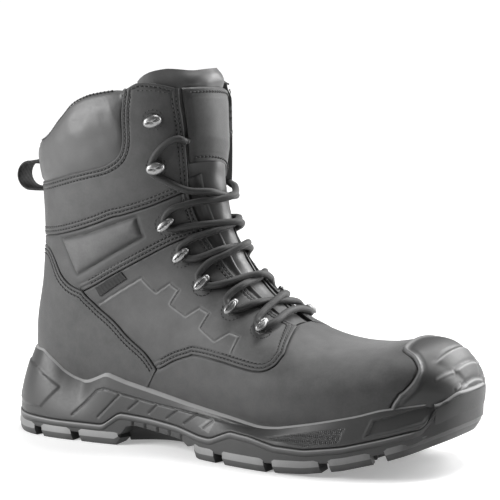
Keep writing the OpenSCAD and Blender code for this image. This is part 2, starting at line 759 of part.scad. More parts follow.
module webbing(x_front, x_back, width) {
    height = pull_loop_top_z - pull_loop_bottom_z;
    middle = (pull_loop_top_z + pull_loop_bottom_z) / 2;
    outer_r = height / 2;
    straight = x_front - x_back - outer_r;
    translate([0, width / 2, middle]) rotate([90, 0, 0]) linear_extrude(width)
        difference() {
            union() {
                translate([x_front - straight, 0]) circle(r = outer_r, $fn = 64);
                translate([x_front - straight, -outer_r]) square([straight, height]);
            }
            translate([x_front - straight, 0]) circle(r = outer_r - webbing_t, $fn = 64);
            translate([x_front - straight, -outer_r + webbing_t])
                square([straight + outer_r, height - 2 * webbing_t]);
        }
}

module pull_loop() {
    color("black") webbing(pull_loop_front_x, pull_loop_back_x, webbing_w);
}

module pull_loop_anchor() {
    tab_l = 3.4;
    tab_front = pull_loop_front_x + 3.5 + tab_l;
    color("black") for (z = [pull_loop_top_z - webbing_t, pull_loop_bottom_z])
        translate([tab_front - tab_l, -webbing_w / 2 + 2, z])
            cube([tab_l, webbing_w - 4, webbing_t]);
}

outsole();
midsole();
toe_bumper();
penetration_plate();
shank();
insole_board();
steel_toe_cap();
toe_cap_edge_strip();
heel_stiffener();
vamp();
vamp_lining();
shaft_lining();
quarter_lateral();
quarter_medial();
heel_counter();
ankle_panel_lateral();
ankle_panel_medial();
ankle_pad_lateral();
ankle_pad_medial();
facing_lateral();
facing_medial();
collar_cover();
collar_padding();
tongue_lower();
gusset_lateral();
gusset_medial();
side_tag();
lace_loops_lateral();
lace_loops_medial();
lace_hooks_lateral();
lace_hooks_medial();
washers_lateral();
washers_medial();
lace();
pull_loop_anchor();
tongue_top();
lace_keeper();
lace_tails();
aglets();
footbed();
pull_loop();
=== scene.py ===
# Safety work boot, right foot: what is seen of it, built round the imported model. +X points
# to the toe, -Y is the outer side of the foot, +Z is up. Lengths are in millimetres and
# angles in degrees, up to add_piece(), which makes them metres.
import math

import bpy
import numpy as np
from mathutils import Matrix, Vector, kdtree, noise


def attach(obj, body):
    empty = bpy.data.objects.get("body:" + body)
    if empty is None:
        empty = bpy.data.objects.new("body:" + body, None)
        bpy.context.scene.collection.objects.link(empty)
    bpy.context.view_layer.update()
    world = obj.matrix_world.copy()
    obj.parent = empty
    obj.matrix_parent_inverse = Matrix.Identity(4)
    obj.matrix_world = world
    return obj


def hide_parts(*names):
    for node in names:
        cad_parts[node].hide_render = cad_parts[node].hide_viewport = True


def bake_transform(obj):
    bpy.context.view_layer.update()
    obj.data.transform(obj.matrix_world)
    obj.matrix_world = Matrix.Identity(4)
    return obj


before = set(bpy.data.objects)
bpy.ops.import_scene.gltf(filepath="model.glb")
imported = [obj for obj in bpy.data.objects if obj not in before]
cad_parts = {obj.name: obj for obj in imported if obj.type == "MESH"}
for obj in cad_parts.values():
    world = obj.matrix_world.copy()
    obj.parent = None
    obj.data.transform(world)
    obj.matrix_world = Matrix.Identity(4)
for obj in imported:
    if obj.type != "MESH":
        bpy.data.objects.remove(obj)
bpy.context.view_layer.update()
MM = 0.001

# ---- The upper's skin, as in the CAD model ----

# Stations from the toe tip (0) to the collar (17): front x, front z, back x, back z,
# middle y, outer half width, inner half width, squareness of the front and back halves.
LAST = [
    [271, 44, 271, 40, 9, 1, 1, 2.0, 2.0], [268, 60, 268, 30, 9, 21, 20, 2.0, 2.2],
    [257, 73.5, 257, 27, 8, 36, 32, 2.1, 2.6], [240, 77, 239, 24, 6, 45, 40, 2.2, 3.0],
    [214, 72.5, 213, 20, 3, 52, 46, 2.3, 3.2], [190, 73, 187, 17, 0, 54, 50, 2.2, 3.2],
    [170, 78, 160, 16, -2, 53, 50, 2.1, 3.2], [150, 88, 128, 18, -3, 48, 46, 2.1, 3.0],
    [135, 100, 94, 21, -3, 43, 41, 2.1, 2.8], [122, 114, 54, 23, -2, 39, 37, 2.1, 2.6],
    [112, 132, 6, 24, -1, 37, 35, 2.1, 2.4], [107, 148, -25, 32, 0, 37, 35, 2.2, 2.2],
    [104.5, 163, -29, 62, 0, 38, 36, 2.2, 2.2], [103.5, 178, -23.5, 95, 0, 39, 38, 2.2, 2.2],
    [102.5, 192, -21, 125, 0, 41, 40, 2.2, 2.2], [101.5, 206, -21.5, 155, 0, 43, 42, 2.2, 2.2],
    [100, 220, -23, 184, 0, 46, 45, 2.2, 2.2], [98, 234, -14, 212, 0, 45, 44, 2.2, 2.2]]

# Seam lines on the skin, as [station, angle]; the angle runs from the front line at 0,
# over the outer side, to the back or bottom line at 180.
FACING_EDGE_LOW = [[6.4, 11], [7.6, 17], [8.5, 20.5], [9.2, 24], [10, 27.5], [10.6, 30.5]]
# The facing's front edge, and how far the inner facing stands off the tongue there.
FACING_FRONT, STAND_OFF = 36.5, 3.6
FACING_EDGE_HIGH = [[16.4, FACING_FRONT], [14, FACING_FRONT], [12.4, FACING_FRONT]]
COUNTER_LOW = [[8.9, 106], [9.4, 98], [10.35, 93], [11.1, 94.5], [11.75, 101]]
COUNTER_HIGH = [[11.75, 101], [12.6, 119], [13.45, 137], [13.75, 160], [13.8, 180]]
ANKLE_LOW = [[10.6, 30.5], [11, 50], [11.3, 70], [11.75, 101]]
ANKLE_FRONT = [[10.6, 30.5], [12.4, FACING_FRONT]]
BAND_LOW = [[12.4, FACING_FRONT], [12.65, 60], [12.95, 78], [13.2, 91], [13.8, 137], [14.1, 180]]
# The facing's top edge where its stitches follow it.
FACING_TOP = [[16.4, FACING_FRONT], [16.72, 50], [16.89, 63], [16.9, 68], [16.8, 73]]
COLLAR_SEAM = [[16.95, 74], [15.8, 74.5], [14.9, 78], [14.68, 86], [14.78, 98], [14.88, 111],
               [15, 135], [15.2, 180]]
COLLAR_RIM = [[16.76, 75.2], [16.84, 82], [16.86, 90], [16.85, 98], [16.72, 109], [16.4, 118],
              [16.05, 135], [16.1, 180]]
TOE_LINE = [[3.3, 0], [3.2, 28], [2.75, 44], [2.48, 59], [2.53, 74], [2.74, 86], [3.05, 97],
            [3.1, 124]]
LOOPS = [[6.97, 39], [8.1, 45], [9.3, 48.5], [10.4, 49.5], [11.75, 53.5]]
HOOKS = [[13.86, 57.5], [15.5, 56]]
LEATHER_T = 1.8
HIDDEN = 4.0  # how far a panel runs on under its neighbour
SEAM_ROWS = (2.0, 4.5)  # how far in from a panel's edge its two rows of stitches lie
COUNTER_ROWS = (2.2, 4.7)

# Plan outline of the sole's wall, and side lines of the sole, as in the CAD model.
SOLE_PLAN = [
    [-40, 0], [-37.5, -16.5], [-23, -33], [0, -39.5], [30, -39.5], [60, -38], [90, -41.5],
    [120, -50], [150, -56.5], [178, -58.5], [205, -55.5], [230, -48], [250, -38],
    [264, -26], [271, -12], [273.5, 6], [272, 22], [265, 37], [250, 46], [230, 51.5],
    [205, 54], [178, 54], [148, 50.5], [118, 44.5], [88, 37.5], [58, 35], [28, 36.5],
    [0, 36.5], [-23, 30], [-37.5, 16]]
TREAD = [[-43, 5.4], [-34, 1.2], [-27, 0], [50, 0], [53, 11], [60, 13], [98, 9], [107, 3],
         [112, 0], [165, 0], [190, 1.4], [213, 5], [235, 10.7], [250, 15.7], [262, 20.5],
         [275, 26]]
MID_LINE = [[-43, 13], [0, 12], [38, 12], [50, 20.5], [72, 19.5], [95, 17.5], [113, 14.5],
            [122, 14.2], [138, 21], [153, 20], [170, 16.5], [190, 16], [213, 19.3],
            [235, 25], [256, 31], [264, 44.5], [275, 50]]
CUP_LINE = [[-43, 54], [-16, 54], [-5, 48], [3, 42.5], [11, 39], [20, 37], [25, 38.5],
            [40, 45], [55, 41], [71, 38], [102, 32.5], [133, 28.5], [152, 25.5],
            [160, 25.5], [169, 26.5], [194, 31.5], [221, 37.5], [234, 41.5], [256, 45],
            [275, 47]]


# ---- Curves and the skin ----

def smooth(table, t):
    """Points of a smooth line through a table's rows, where t counts the rows."""
    table, t = np.asarray(table, float), np.asarray(t, float)
    last = len(table) - 1
    i = np.clip(np.floor(t).astype(int), 0, last - 1)
    f = (t - i)[..., None]
    b, c = table[i], table[i + 1]
    a = np.where((i == 0)[..., None], 2 * b - c, table[np.maximum(i - 1, 0)])
    d = np.where((i == last - 1)[..., None], 2 * c - b, table[np.minimum(i + 2, last)])
    return 0.5 * (2 * b + (c - a) * f + (2 * a - 5 * b + 4 * c - d) * f ** 2
                  + (3 * b - a - 3 * c + d) * f ** 3)


def smooth_closed(table, t):
    """The same for a closed line, where t runs round once from 0 to the number of rows."""
    count = len(table)
    wrapped = np.array([table[i % count] for i in range(-2, count + 3)], float)
    return smooth(wrapped, np.asarray(t) % count + 2)


def height_at(line, x):
    """Height of a side line, its corners rounded over some millimetres."""
    line = np.asarray(line, float)
    reach = np.array([-2.0, -1.0, 0.0, 1.0, 2.0])
    return np.interp(np.asarray(x)[..., None] + reach, line[:, 0], line[:, 1]).mean(-1)


def unit(vectors):
    return vectors / np.maximum(np.linalg.norm(vectors, axis=-1, keepdims=True), 1e-9)


def skin(u, v):
    """Points of the skin at stations and angles."""
    row = smooth(LAST, u)
    c, k = np.cos(np.radians(v)), np.sin(np.radians(v))
    n = np.where(c > 0, row[..., 7], row[..., 8])
    half = np.where(k > 0, row[..., 5], row[..., 6])
    t = (np.sign(c) * np.abs(c) ** (2 / n) + 1) / 2
    side = np.sign(k) * np.abs(k) ** (2 / n) * half
    return np.stack([row[..., 2] + (row[..., 0] - row[..., 2]) * t, row[..., 4] - side,
                     row[..., 3] + (row[..., 1] - row[..., 3]) * t], -1)


def points_at(uv):
    """Points of the skin at [station, angle] places."""
    return skin(uv[..., 0], uv[..., 1])


def normals_at(uv):
    return skin_normal(uv[..., 0], uv[..., 1])


def slopes(u, v):
    """How the skin moves per station and per degree."""
    along = (skin(u + 0.03, v) - skin(u - 0.03, v)) / 0.06
    around = (skin(u, v + 1) - skin(u, v - 1)) / 2
    return along, around


def skin_normal(u, v):
    along, around = slopes(u, v)
    return unit(np.cross(along, around))


def layer(u, v, d):
    """Points at a depth d outside the skin; d is negative inside."""
    return skin(u, v) + np.asarray(d)[..., None] * skin_normal(u, v)


def shifted(uv, offsets):
    """Places on the skin, moved by a tangent offset in millimetres."""
    uv, offsets = np.asarray(uv, float), np.asarray(offsets, float)
    target = points_at(uv) + offsets
    place = uv.copy()
    for _ in range(4):
        gap = target - points_at(place)
        along, around = slopes(place[:, 0], place[:, 1])
        aa, ab, bb = (along * along).sum(1), (along * around).sum(1), (around * around).sum(1)
        ga, gb = (gap * along).sum(1), (gap * around).sum(1)
        det = np.maximum(aa * bb - ab * ab, 1e-9)
        place[:, 0] += (ga * bb - gb * ab) / det
        place[:, 1] += (gb * aa - ga * ab) / det
    return place


def lengths(points):
    """Distance along a line of points, from its first point."""
    steps = np.linalg.norm(np.diff(points, axis=0), axis=1)
    return np.concatenate([[0], np.cumsum(steps)])


def spaced(at, far, line):
    """Points of a line at distances along it, far being the distance of each of its points."""
    return np.stack([np.interp(at, far, line[:, k]) for k in range(line.shape[1])], -1)


def seam(*parts, step=0.6):
    """A seam line as even [station, angle] places; each part is smooth, and parts meet in
    corners."""
    uv = np.concatenate([smooth(p, np.linspace(0, len(p) - 1, 40 * len(p))) for p in parts])
    far = lengths(points_at(uv))
    even = np.linspace(0, far[-1], max(2, int(far[-1] / step)))
    return spaced(even, far, uv)


def mirrored(uv):
    """The same places on the inner side of the foot."""
    return np.asarray(uv, float) * [1, -1]


def over_back(uv):
    """The same, with angles that go on from the outer side over the back."""
    return np.asarray(uv, float) * [1, -1] + [0, 360]


def beside(line, distance):
    """A line on the skin at a distance to the left of a seam line, seen from outside."""
    points = points_at(line)
    way = unit(np.gradient(points, axis=0))
    left = np.cross(normals_at(line), way)
    return shifted(line, left * np.asarray(distance)[..., None]
                   if np.ndim(distance) else left * distance)


def moved(line, distance, toward):
    """A seam line moved sideways on the skin by a distance, to the side where a place is."""
    target = skin(*np.asarray(toward, float))
    ways = [beside(line, np.asarray(distance) * way) for way in (1, -1)]
    gaps = [np.linalg.norm(points_at(w) - target, axis=1).mean() for w in ways]
    return ways[int(gaps[1] < gaps[0])]


# ---- Meshes ----

def add_piece(name, shape, material, stands_for=(), body="boot", crease=38, marks=None):
    """A mesh object from points in millimetres and faces, riding on a body. marks holds
    named numbers for each point, which the materials read."""
    points, faces = shape
    mesh = bpy.data.meshes.new(name)
    mesh.from_pydata((np.asarray(points) * MM).tolist(), [], [list(map(int, f)) for f in faces])
    for key, values in (marks or {}).items():
        attribute = mesh.attributes.new(key, "FLOAT", "POINT")
        attribute.data.foreach_set("value", np.asarray(values, np.float32).ravel())
    mesh.validate()
    mesh.shade_smooth()
    if crease:
        mesh.set_sharp_from_angle(angle=math.radians(crease))
    mesh.materials.append(material)
    piece = bpy.data.objects.new(name, mesh)
    bpy.context.scene.collection.objects.link(piece)
    if body:
        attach(piece, body)
    if stands_for:
        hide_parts(*stands_for)
    return piece


def on_top(values):
    """Numbers for the points of a slab: these on its outer grid, and 0 on its inner one."""
    return np.concatenate([values.ravel(), np.zeros(values.size)])


def grid_faces(rows, cols, start=0, ring=False):
    r, c = np.meshgrid(np.arange(rows - 1), np.arange(cols if ring else cols - 1), indexing="ij")
    r, c, d = r.ravel(), c.ravel(), (c.ravel() + 1) % cols
    return np.stack([r * cols + c, r * cols + d, (r + 1) * cols + d, (r + 1) * cols + c],
                    1) + start


def slab(outer, inner, ring=False):
    """Points and faces of a closed sheet between two grids of points."""
    rows, cols = outer.shape[:2]
    side = rows * cols
    points = np.concatenate([outer.reshape(-1, 3), inner.reshape(-1, 3)])
    top = grid_faces(rows, cols, 0, ring)
    low = grid_faces(rows, cols, side, ring)[:, ::-1]

    def wall(loop):
        a, b = loop[:-1], loop[1:]
        return np.stack([b, a, a + side, b + side], 1)
    first = np.arange(cols + 1 if ring else cols) % cols
    walls = [wall(first), wall(((rows - 1) * cols + first)[::-1])]
    if not ring:
        walls += [wall(np.arange(rows - 1, -1, -1) * cols), wall(np.arange(rows) * cols + cols - 1)]
    faces = np.concatenate([top, low, *walls])
    r, c = rows // 2, cols // 2
    turn = np.cross(outer[r, c] - outer[r - 1, c], outer[r, c] - outer[r, c - 1])
    if np.dot(turn, outer[r, c] - inner[r, c]) > 0:
        faces = faces[:, ::-1]
    return points, faces


# Distances of the first grid lines from a panel's edge.
NEAR = np.array([0, 0.15, 0.35, 0.6, 0.95, 1.4, 1.9, 2.4, 2.9, 3.4, 3.9, 4.4, 5.0, 5.8])


def steps_across(length, middle):
    near = NEAR * min(1, length / (2.6 * NEAR[-1]))
    mid = np.linspace(near[-1], length - near[-1], middle + 2)[1:-1]
    return np.concatenate([near, mid, (length - near)[::-1]])


def ruled(side_a, side_b, step=1.6):
    """A grid of places between two lines of [station, angle], with close lines at its
    four edges. The two lines are matched by their own parameter."""
    t = np.linspace(0, 1, 301)
    a = smooth(side_a, t * (len(side_a) - 1)) if len(side_a) < 100 else resampled(side_a, t)
    b = smooth(side_b, t * (len(side_b) - 1)) if len(side_b) < 100 else resampled(side_b, t)
    far = (lengths(points_at(a)) + lengths(points_at(b))) / 2
    rows = np.interp(steps_across(far[-1], int(far[-1] / step)), far, t)
    a, b = spaced(rows, t, a), spaced(rows, t, b)
    j = np.linspace(0, 1, 41)
    lines = a[:, None] + (b - a)[:, None] * j[None, :, None]
    spans = [lengths(p) for p in points_at(lines)]
    middle = int(np.percentile([s[-1] for s in spans], 80) / step)
    grid = []
    for line, span in zip(lines, spans):
        f = np.interp(steps_across(span[-1], middle), span, j)
        grid.append(line[0] + (line[-1] - line[0]) * f[:, None])
    return np.array(grid)


def resampled(line, t):
    return spaced(t, np.linspace(0, 1, len(line)), line)


def finder(points):
    """A tree that finds the nearest of some points."""
    tree = kdtree.KDTree(len(points))
    for i, point in enumerate(points):
        tree.insert(point, i)
    tree.balance()
    return tree


def distance_to(points, lines):
    """Distance from each point to the nearest of some lines of [station, angle]."""
    if not len(lines):
        return np.full(len(points), 99.0)
    dots = []
    for line in lines:
        on = points_at(line)
        far = lengths(on)
        even = np.linspace(0, far[-1], int(far[-1] / 0.25) + 2)
        dots.append(spaced(even, far, on))
    tree = finder(np.concatenate(dots))
    return np.array([tree.find(p)[2] for p in points])


def grid_distance(on, *lines):
    """The same for a grid of points."""
    return distance_to(on.reshape(-1, 3), lines).reshape(on.shape[:-1])


def swell(points, size, seed):
    """Soft uneven waves, from -1 to 1, of about that size in millimetres."""
    shift = Vector((seed * 17.3, seed * 5.1, seed * 9.7))
    flat = np.asarray(points).reshape(-1, 3) / size
    return np.array([noise.noise(Vector(p) + shift) for p in flat]).reshape(points.shape[:-1])


def bell(x, width):
    """A rounded ridge of height 1 at x = 0."""
    return np.exp(-(x / width) ** 2)


def bump_step(x, width):
    """0 up to x = 0, 1 from x = width on, and smooth between."""
    t = np.clip(x / width, 0, 1)
    return t * t * (3 - 2 * t)


def panel(name, grid, stands_for, lift=0.0, thickness=LEATHER_T, free=(), tucked=(),
          hidden=(), rows=SEAM_ROWS, relief=None, bead=0.55, creases=0.25):
    """A leather panel on the skin. free edges are rounded and sewn. tucked lines are the
    edges of neighbours that lie on it, and hidden lines are its own edges under them."""
    u, v = grid[..., 0], grid[..., 1]
    on = skin(u, v)
    to_free, to_tucked = grid_distance(on, *free), grid_distance(on, *tucked)
    to_tucked *= grid_distance(on, *hidden) > HIDDEN - 0.2
    near = np.clip(to_free, 0, bead)
    d = lift - (bead - np.sqrt(np.maximum(bead ** 2 - (bead - near) ** 2, 0)))
    for row in rows:
        d -= 0.3 * bell(to_free - row, 0.6)
    if len(rows) > 1:
        d += 0.18 * bell(to_free - np.mean(rows), 0.6)
    d -= (1.25 + lift) * (1 - bump_step(to_tucked, 1.3))
    calm = bump_step(np.minimum(to_free, to_tucked), 8)
    d += creases * calm * (swell(on, 26, 1) + 0.4 * swell(on, 9, 2))
    # Painted highlight and painted shade that the relief gives.
    painted_light_values = np.zeros(u.shape)
    if relief is not None:
        rise, painted_light_values = relief(u, v, on)
        d = d + rise
    shape = slab(layer(u, v, d), layer(u, v, np.minimum(d - 0.6, lift - thickness)))
    # Distance to the dyed cut edges, and to neighbours' edges, beside which the darkening is
    # painted shade.
    close = np.minimum(to_free, to_tucked + 0.3 * (to_tucked > 0))
    add_piece(name, shape, NUBUCK, stands_for,
              marks={"edge": on_top(close), "painted_light": on_top(painted_light_values)})


def swept(rings, looped=False):
    """Points and faces of a closed body through rings of points; its ends are capped."""
    rings = np.asarray(rings, float)
    count, around = rings.shape[:2]
    faces = grid_faces(count, around, 0, True).tolist()
    if looped:
        last, ring = (count - 1) * around, np.arange(around)
        turn = (ring + 1) % around
        faces += np.stack([last + ring, last + turn, turn, ring], 1).tolist()
    else:
        faces.append(list(range(around))[::-1])
        faces.append(list(range((count - 1) * around, count * around)))
    return rings.reshape(-1, 3), faces


def facing_out(shape):
    """The same points and faces, all turned over if the body would be inside out."""
    points, faces = shape
    volume = 0.0
    for f in faces:
        a = points[f[0]]
        for b, c in zip(f[1:-1], f[2:]):
            volume += np.dot(a, np.cross(points[b], points[c]))
    return points, [list(f)[::-1] for f in faces] if volume < 0 else faces


def turns(count):
    """Even angles round a circle."""
    return np.arange(count) * 2 * math.pi / count


def joined(bodies):
    """One set of points and faces from several."""
    points, faces, start = [], [], 0
    for body_points, body_faces in bodies:
        points.append(np.asarray(body_points))
        faces += [[start + int(i) for i in f] for f in body_faces]
        start += len(body_points)
    return np.concatenate(points), faces


# ---- Materials ----

def new_material(name):
    """A material, its node tree and its shader."""
    material = bpy.data.materials.new(name)
    material.use_nodes = True
    return material, material.node_tree, material.node_tree.nodes["Principled BSDF"]


def add_node(tree, kind, vector=None, **constants):
    """A node with constants on its sockets, named with _ for a space."""
    node = tree.nodes.new("ShaderNode" + kind)
    set_inputs(node, **constants)
    if vector is not None:
        tree.links.new(vector, node.inputs["Vector"])
    return node


def set_inputs(node, **constants):
    for socket, value in constants.items():
        node.inputs[socket.replace("_", " ")].default_value = value


def noise_at(tree, where, size, detail):
    """A noise texture whose patches are about size millimetres wide."""
    texture = add_node(tree, "TexNoise", where, Scale=1 / (size * MM), Detail=detail,
                       Roughness=0.55)
    return texture.outputs["Fac"]


def calc(tree, what, *terms):
    node = tree.nodes.new("ShaderNodeMath")
    node.operation = what
    for socket, value in zip(node.inputs, terms):
        if isinstance(value, (int, float)):
            socket.default_value = value
        else:
            tree.links.new(value, socket)
    return node.outputs[0]


def mark_at(tree, name):
    """The numbers that a mesh holds for its points under a name."""
    mark = tree.nodes.new("ShaderNodeAttribute")
    mark.attribute_name = name
    return mark.outputs["Fac"]


NAP = 1.4  # size of the fine patches in every finish


def surface(name, base, rough, spread=0.25, patch=12.0, grain=0.5, bump=0.25, depth=0.12,
            warm=0.0, rough_spread=0.12, metallic=0.0, sheen=0.0, edge=0.0, cells=0.0,
            weave=0.0, painted_light=0.0):
    """A procedural finish: patches and nap in its colour, a fine grain in its relief. edge
    darkens it along seams: the dyed cut edges, painted shade beside a neighbour's edge, and a
    broad band near the seams that is partly darker dye and partly painted shade. The
    painted-light strength brightens it with the painted highlights marked on the mesh, and
    darkens it with the painted shade marked there."""
    material, tree, shader = new_material(name)
    where = tree.nodes.new("ShaderNodeTexCoord").outputs["Object"]
    wide = noise_at(tree, where, patch, 5)
    near = noise_at(tree, where, NAP, 3)
    fine = noise_at(tree, where, grain, 3)
    mixed = calc(tree, "ADD", calc(tree, "MULTIPLY", wide, 0.65),
                 calc(tree, "MULTIPLY", near, 0.35))
    shade = calc(tree, "MULTIPLY_ADD", calc(tree, "SUBTRACT", mixed, 0.5), 4 * spread, 1.0)
    if edge:
        mark = mark_at(tree, "edge")
        # Within half a millimetre: the dyed cut edges, and painted shade beside a neighbour's edge.
        # Over ten millimetres: darker towards the seams, partly darker dye and partly painted
        # shade.
        for reach, darkest in ((0.5, 1 - edge), (10, 0.72)):
            fade = add_node(tree, "MapRange", From_Max=reach, To_Min=darkest)
            tree.links.new(mark, fade.inputs["Value"])
            shade = calc(tree, "MULTIPLY", shade, fade.outputs["Result"])
    # Painted highlights where the mark is above 0, painted shade where it is below.
    if painted_light:
        shade = calc(tree, "MULTIPLY", shade,
                     calc(tree, "MULTIPLY_ADD", mark_at(tree, "painted_light"), painted_light, 1.0))
    if weave:
        wave = add_node(tree, "TexWave", where, Scale=1 / (weave * MM) / 6.283)
        wave.bands_direction = "DIAGONAL"
        fine = calc(tree, "MULTIPLY", wave.outputs["Fac"], 0.9)
        shade = calc(tree, "MULTIPLY", shade,
                     calc(tree, "MULTIPLY_ADD", wave.outputs["Fac"], 0.5, 0.7))
    colour = tree.nodes.new("ShaderNodeCombineColor")
    for socket, part in zip(colour.inputs, (base * (1 + warm), base, base * (1 - warm))):
        tree.links.new(calc(tree, "MULTIPLY", shade, part), socket)
    tree.links.new(colour.outputs[0], shader.inputs["Base Color"])
    tree.links.new(calc(tree, "MULTIPLY_ADD", calc(tree, "SUBTRACT", near, 0.5),
                        2 * rough_spread, rough), shader.inputs["Roughness"])
    height = fine
    if cells:
        pores = add_node(tree, "TexVoronoi", where, Scale=1 / (cells * MM))
        height = calc(tree, "ADD", calc(tree, "MULTIPLY", fine, 0.5),
                      calc(tree, "MULTIPLY", pores.outputs["Distance"], 0.8))
    relief = add_node(tree, "Bump", Strength=bump, Distance=depth * MM)
    tree.links.new(height, relief.inputs["Height"])
    tree.links.new(relief.outputs["Normal"], shader.inputs["Normal"])
    set_inputs(shader, Metallic=metallic, Sheen_Weight=sheen, Sheen_Roughness=0.45,
               Coat_Roughness=0.25)
    return material


# Nubuck, midsole, bumper and rubber take painted highlights and painted shade from marks on their
# meshes, at the strength given last.
NUBUCK = surface("nubuck leather", 0.07, 0.6, spread=0.4, patch=11, grain=0.35, bump=0.5,
                 sheen=0.2, edge=0.5, painted_light=2.0)
SOFT_LEATHER = surface("soft smooth leather", 0.095, 0.46, spread=0.12, patch=16, grain=0.6,
                       bump=0.3, cells=0.9, sheen=0.05)
MOULDED = surface("moulded midsole", 0.055, 0.48, spread=0.08, patch=22, grain=0.25, bump=0.2,
                  painted_light=5.0)
BUMPER = surface("moulded bumper", 0.052, 0.5, spread=0.12, patch=20, grain=0.22, bump=0.2,
                 painted_light=3.2)
RUBBER = surface("outsole rubber", 0.065, 0.55, spread=0.15, patch=18, grain=0.25, bump=0.22,
                 painted_light=4.2)
THREAD = surface("sewing thread", 0.05, 0.5, spread=0.2, patch=4, grain=0.2, bump=0.3)
# Near-black discs that paint the shade in the needle holes.
HOLE_SHADOW = surface("pressed shadow", 0.004, 0.9, spread=0.1)
GUNMETAL = surface("gunmetal", 0.26, 0.4, spread=0.06, patch=5, grain=0.3, bump=0.08,
                   metallic=1.0, rough_spread=0.08)
CORD = surface("braided cord", 0.022, 0.62, spread=0.25, patch=6, grain=0.2, bump=0.4, sheen=0.15)
WEBBING = surface("woven webbing", 0.016, 0.75, spread=0.15, patch=6, weave=0.9, bump=0.6,
                  depth=0.2)
LINING = surface("knitted lining", 0.03, 0.85, spread=0.15, patch=8, cells=1.1, bump=0.7,
                 depth=0.25)
STEEL = surface("brushed steel", 0.55, 0.35, spread=0.05, metallic=1.0, bump=0.05)
BOARD = surface("insole board", 0.5, 0.8, spread=0.08, patch=6, warm=0.15)
PLASTIC = surface("black plastic", 0.03, 0.4, spread=0.05, grain=0.3, bump=0.1)


# ---- Leather panels ----

SIDES = {"lateral": 1, "medial": -1}
QUARTER_FRONT = [[6.4, 11], [6.02, 47]]
QUARTER_LOW = [[6.02, 47], [6.1, 62.7], [6.5, 74.6], [7.54, 83], [8.5, 92], [8.9, 106]]


def on_side(line, way):
    return np.asarray(line, float) * [1, way]


def toe_edge():
    """The rear edge of the toe bumper, from the inner side round to the outer side."""
    half = seam(TOE_LINE)
    return np.concatenate([mirrored(half)[::-1], half[1:]])


def make_vamp():
    toe = toe_edge()
    low = moved(toe, HIDDEN, (1, 0))
    half = seam([[6.4, 0], [6.4, 11]], QUARTER_FRONT, QUARTER_LOW, [[8.9, 106], [8.9, 137]])
    reach = HIDDEN * bump_step(np.abs(half[:, 1]) - 9, 8)
    far_sides = [moved(on_side(half, way), reach, (9.5, 70 * way)) for way in (1, -1)]
    far = np.concatenate([far_sides[1][::-1], far_sides[0][1:]])
    throat = seam([[6.4, -11], [6.4, 11]])
    seams = [on_side(seam(QUARTER_FRONT, QUARTER_LOW), way) for way in (1, -1)]
    unders = [f[np.abs(f[:, 1]) > 14] for f in far_sides]
    panel("vamp_leather", ruled(low, far, 1.5), ["vamp"], free=[throat],
          tucked=[toe, *seams], hidden=[low, *unders], rows=())


def zigzag_relief(way):
    """The pressed zigzag line on the quarter, with a painted highlight along the lip beside it."""
    corners = np.array([[11.1, 93], [10.78, 72], [10.07, 70.4], [9.99, 62], [9.65, 60.7],
                        [9.56, 70], [9.06, 70], [8.92, 59.6], [8.57, 58], [8.51, 70.4],
                        [7.95, 72], [7.71, 58.8], [7.37, 55.7], [7.31, 72]])
    line = seam(*[corners[i:i + 2] for i in range(len(corners) - 1)])
    beside_line = moved(line, 0.9, (8.2, 96))

    def relief(_u, _v, on):
        away = grid_distance(on, on_side(line, way))
        near = grid_distance(on, on_side(beside_line, way))
        lip = bell(near, 0.6)
        # The lip rises and also carries a painted highlight.
        return 0.3 * lip - 0.45 * bell(away, 0.6), lip
    return relief


def make_quarter(side):
    way = SIDES[side]
    top = on_side(seam(FACING_EDGE_LOW + [[10.95, 31.6]]), way)
    counter = on_side(seam(COUNTER_LOW), way)
    under = moved(counter, HIDDEN, (10, 125 * way))
    low = on_side(seam(QUARTER_LOW), way)
    ankle = on_side(seam(ANKLE_LOW), way)
    ankle_under = moved(ankle, HIDDEN, (12.5, 70 * way))
    grid = ruled(top, np.concatenate([low, under[2:]]), 0.65)
    free = [on_side(seam(QUARTER_FRONT, QUARTER_LOW), way), on_side(seam(FACING_EDGE_LOW), way)]
    panel("quarter_leather_" + side, grid, ["quarter_" + side], lift=0.2, free=free,
          tucked=[counter, ankle], hidden=[under, ankle_under], relief=zigzag_relief(way))


def pad_relief(way):
    """The padded field of the ankle panel, with the crease under it. The field carries a painted
    highlight and the crease painted shade.
    """
    corners = np.array([[13.5, 121], [12.63, 71], [11.87, 67], [12.24, 104]])
    ring = seam(*[[corners[i], corners[(i + 1) % 4]] for i in range(4)])
    middle = corners.mean(0)

    def relief(u, v, on):
        away = grid_distance(on, on_side(ring, way))
        place = np.stack([u, v * way], -1)
        inside = np.ones(u.shape, bool)
        for i in range(4):
            a, b = corners[i], corners[(i + 1) % 4]
            side, home = ((b[0] - a[0]) * (at[..., 1] - a[1]) - (b[1] - a[1]) * (at[..., 0] - a[0])
                          for at in (place, middle))
            inside &= side * home > 0
        groove = bell(away, 1.3)
        field = 1 - np.exp(-away / 3.2)
        return np.where(inside, 1.9 * field, 0) - 0.6 * groove, 0.35 * inside * field - 0.3 * groove
    return relief


def make_ankle_panel(side):
    way = SIDES[side]
    low = on_side(seam(ANKLE_LOW), way)
    counter = on_side(seam(COUNTER_HIGH), way)
    under = moved(counter, HIDDEN * (1 - 0.8 * np.linspace(0, 1, len(counter)) ** 4),
                  (11.8, 150 * way))
    band = on_side(seam(BAND_LOW), way)
    band_under = moved(band, HIDDEN, (14.6, 100 * way))
    grid = ruled(np.concatenate([low, under[2:]]), band_under, 1.2)
    front = on_side(seam(ANKLE_FRONT), way)
    panel("ankle_leather_" + side, grid, ["ankle_panel_" + side, "ankle_pad_" + side],
          lift=0.3, free=[low, front], tucked=[counter, band], hidden=[under, band_under],
          relief=pad_relief(way))


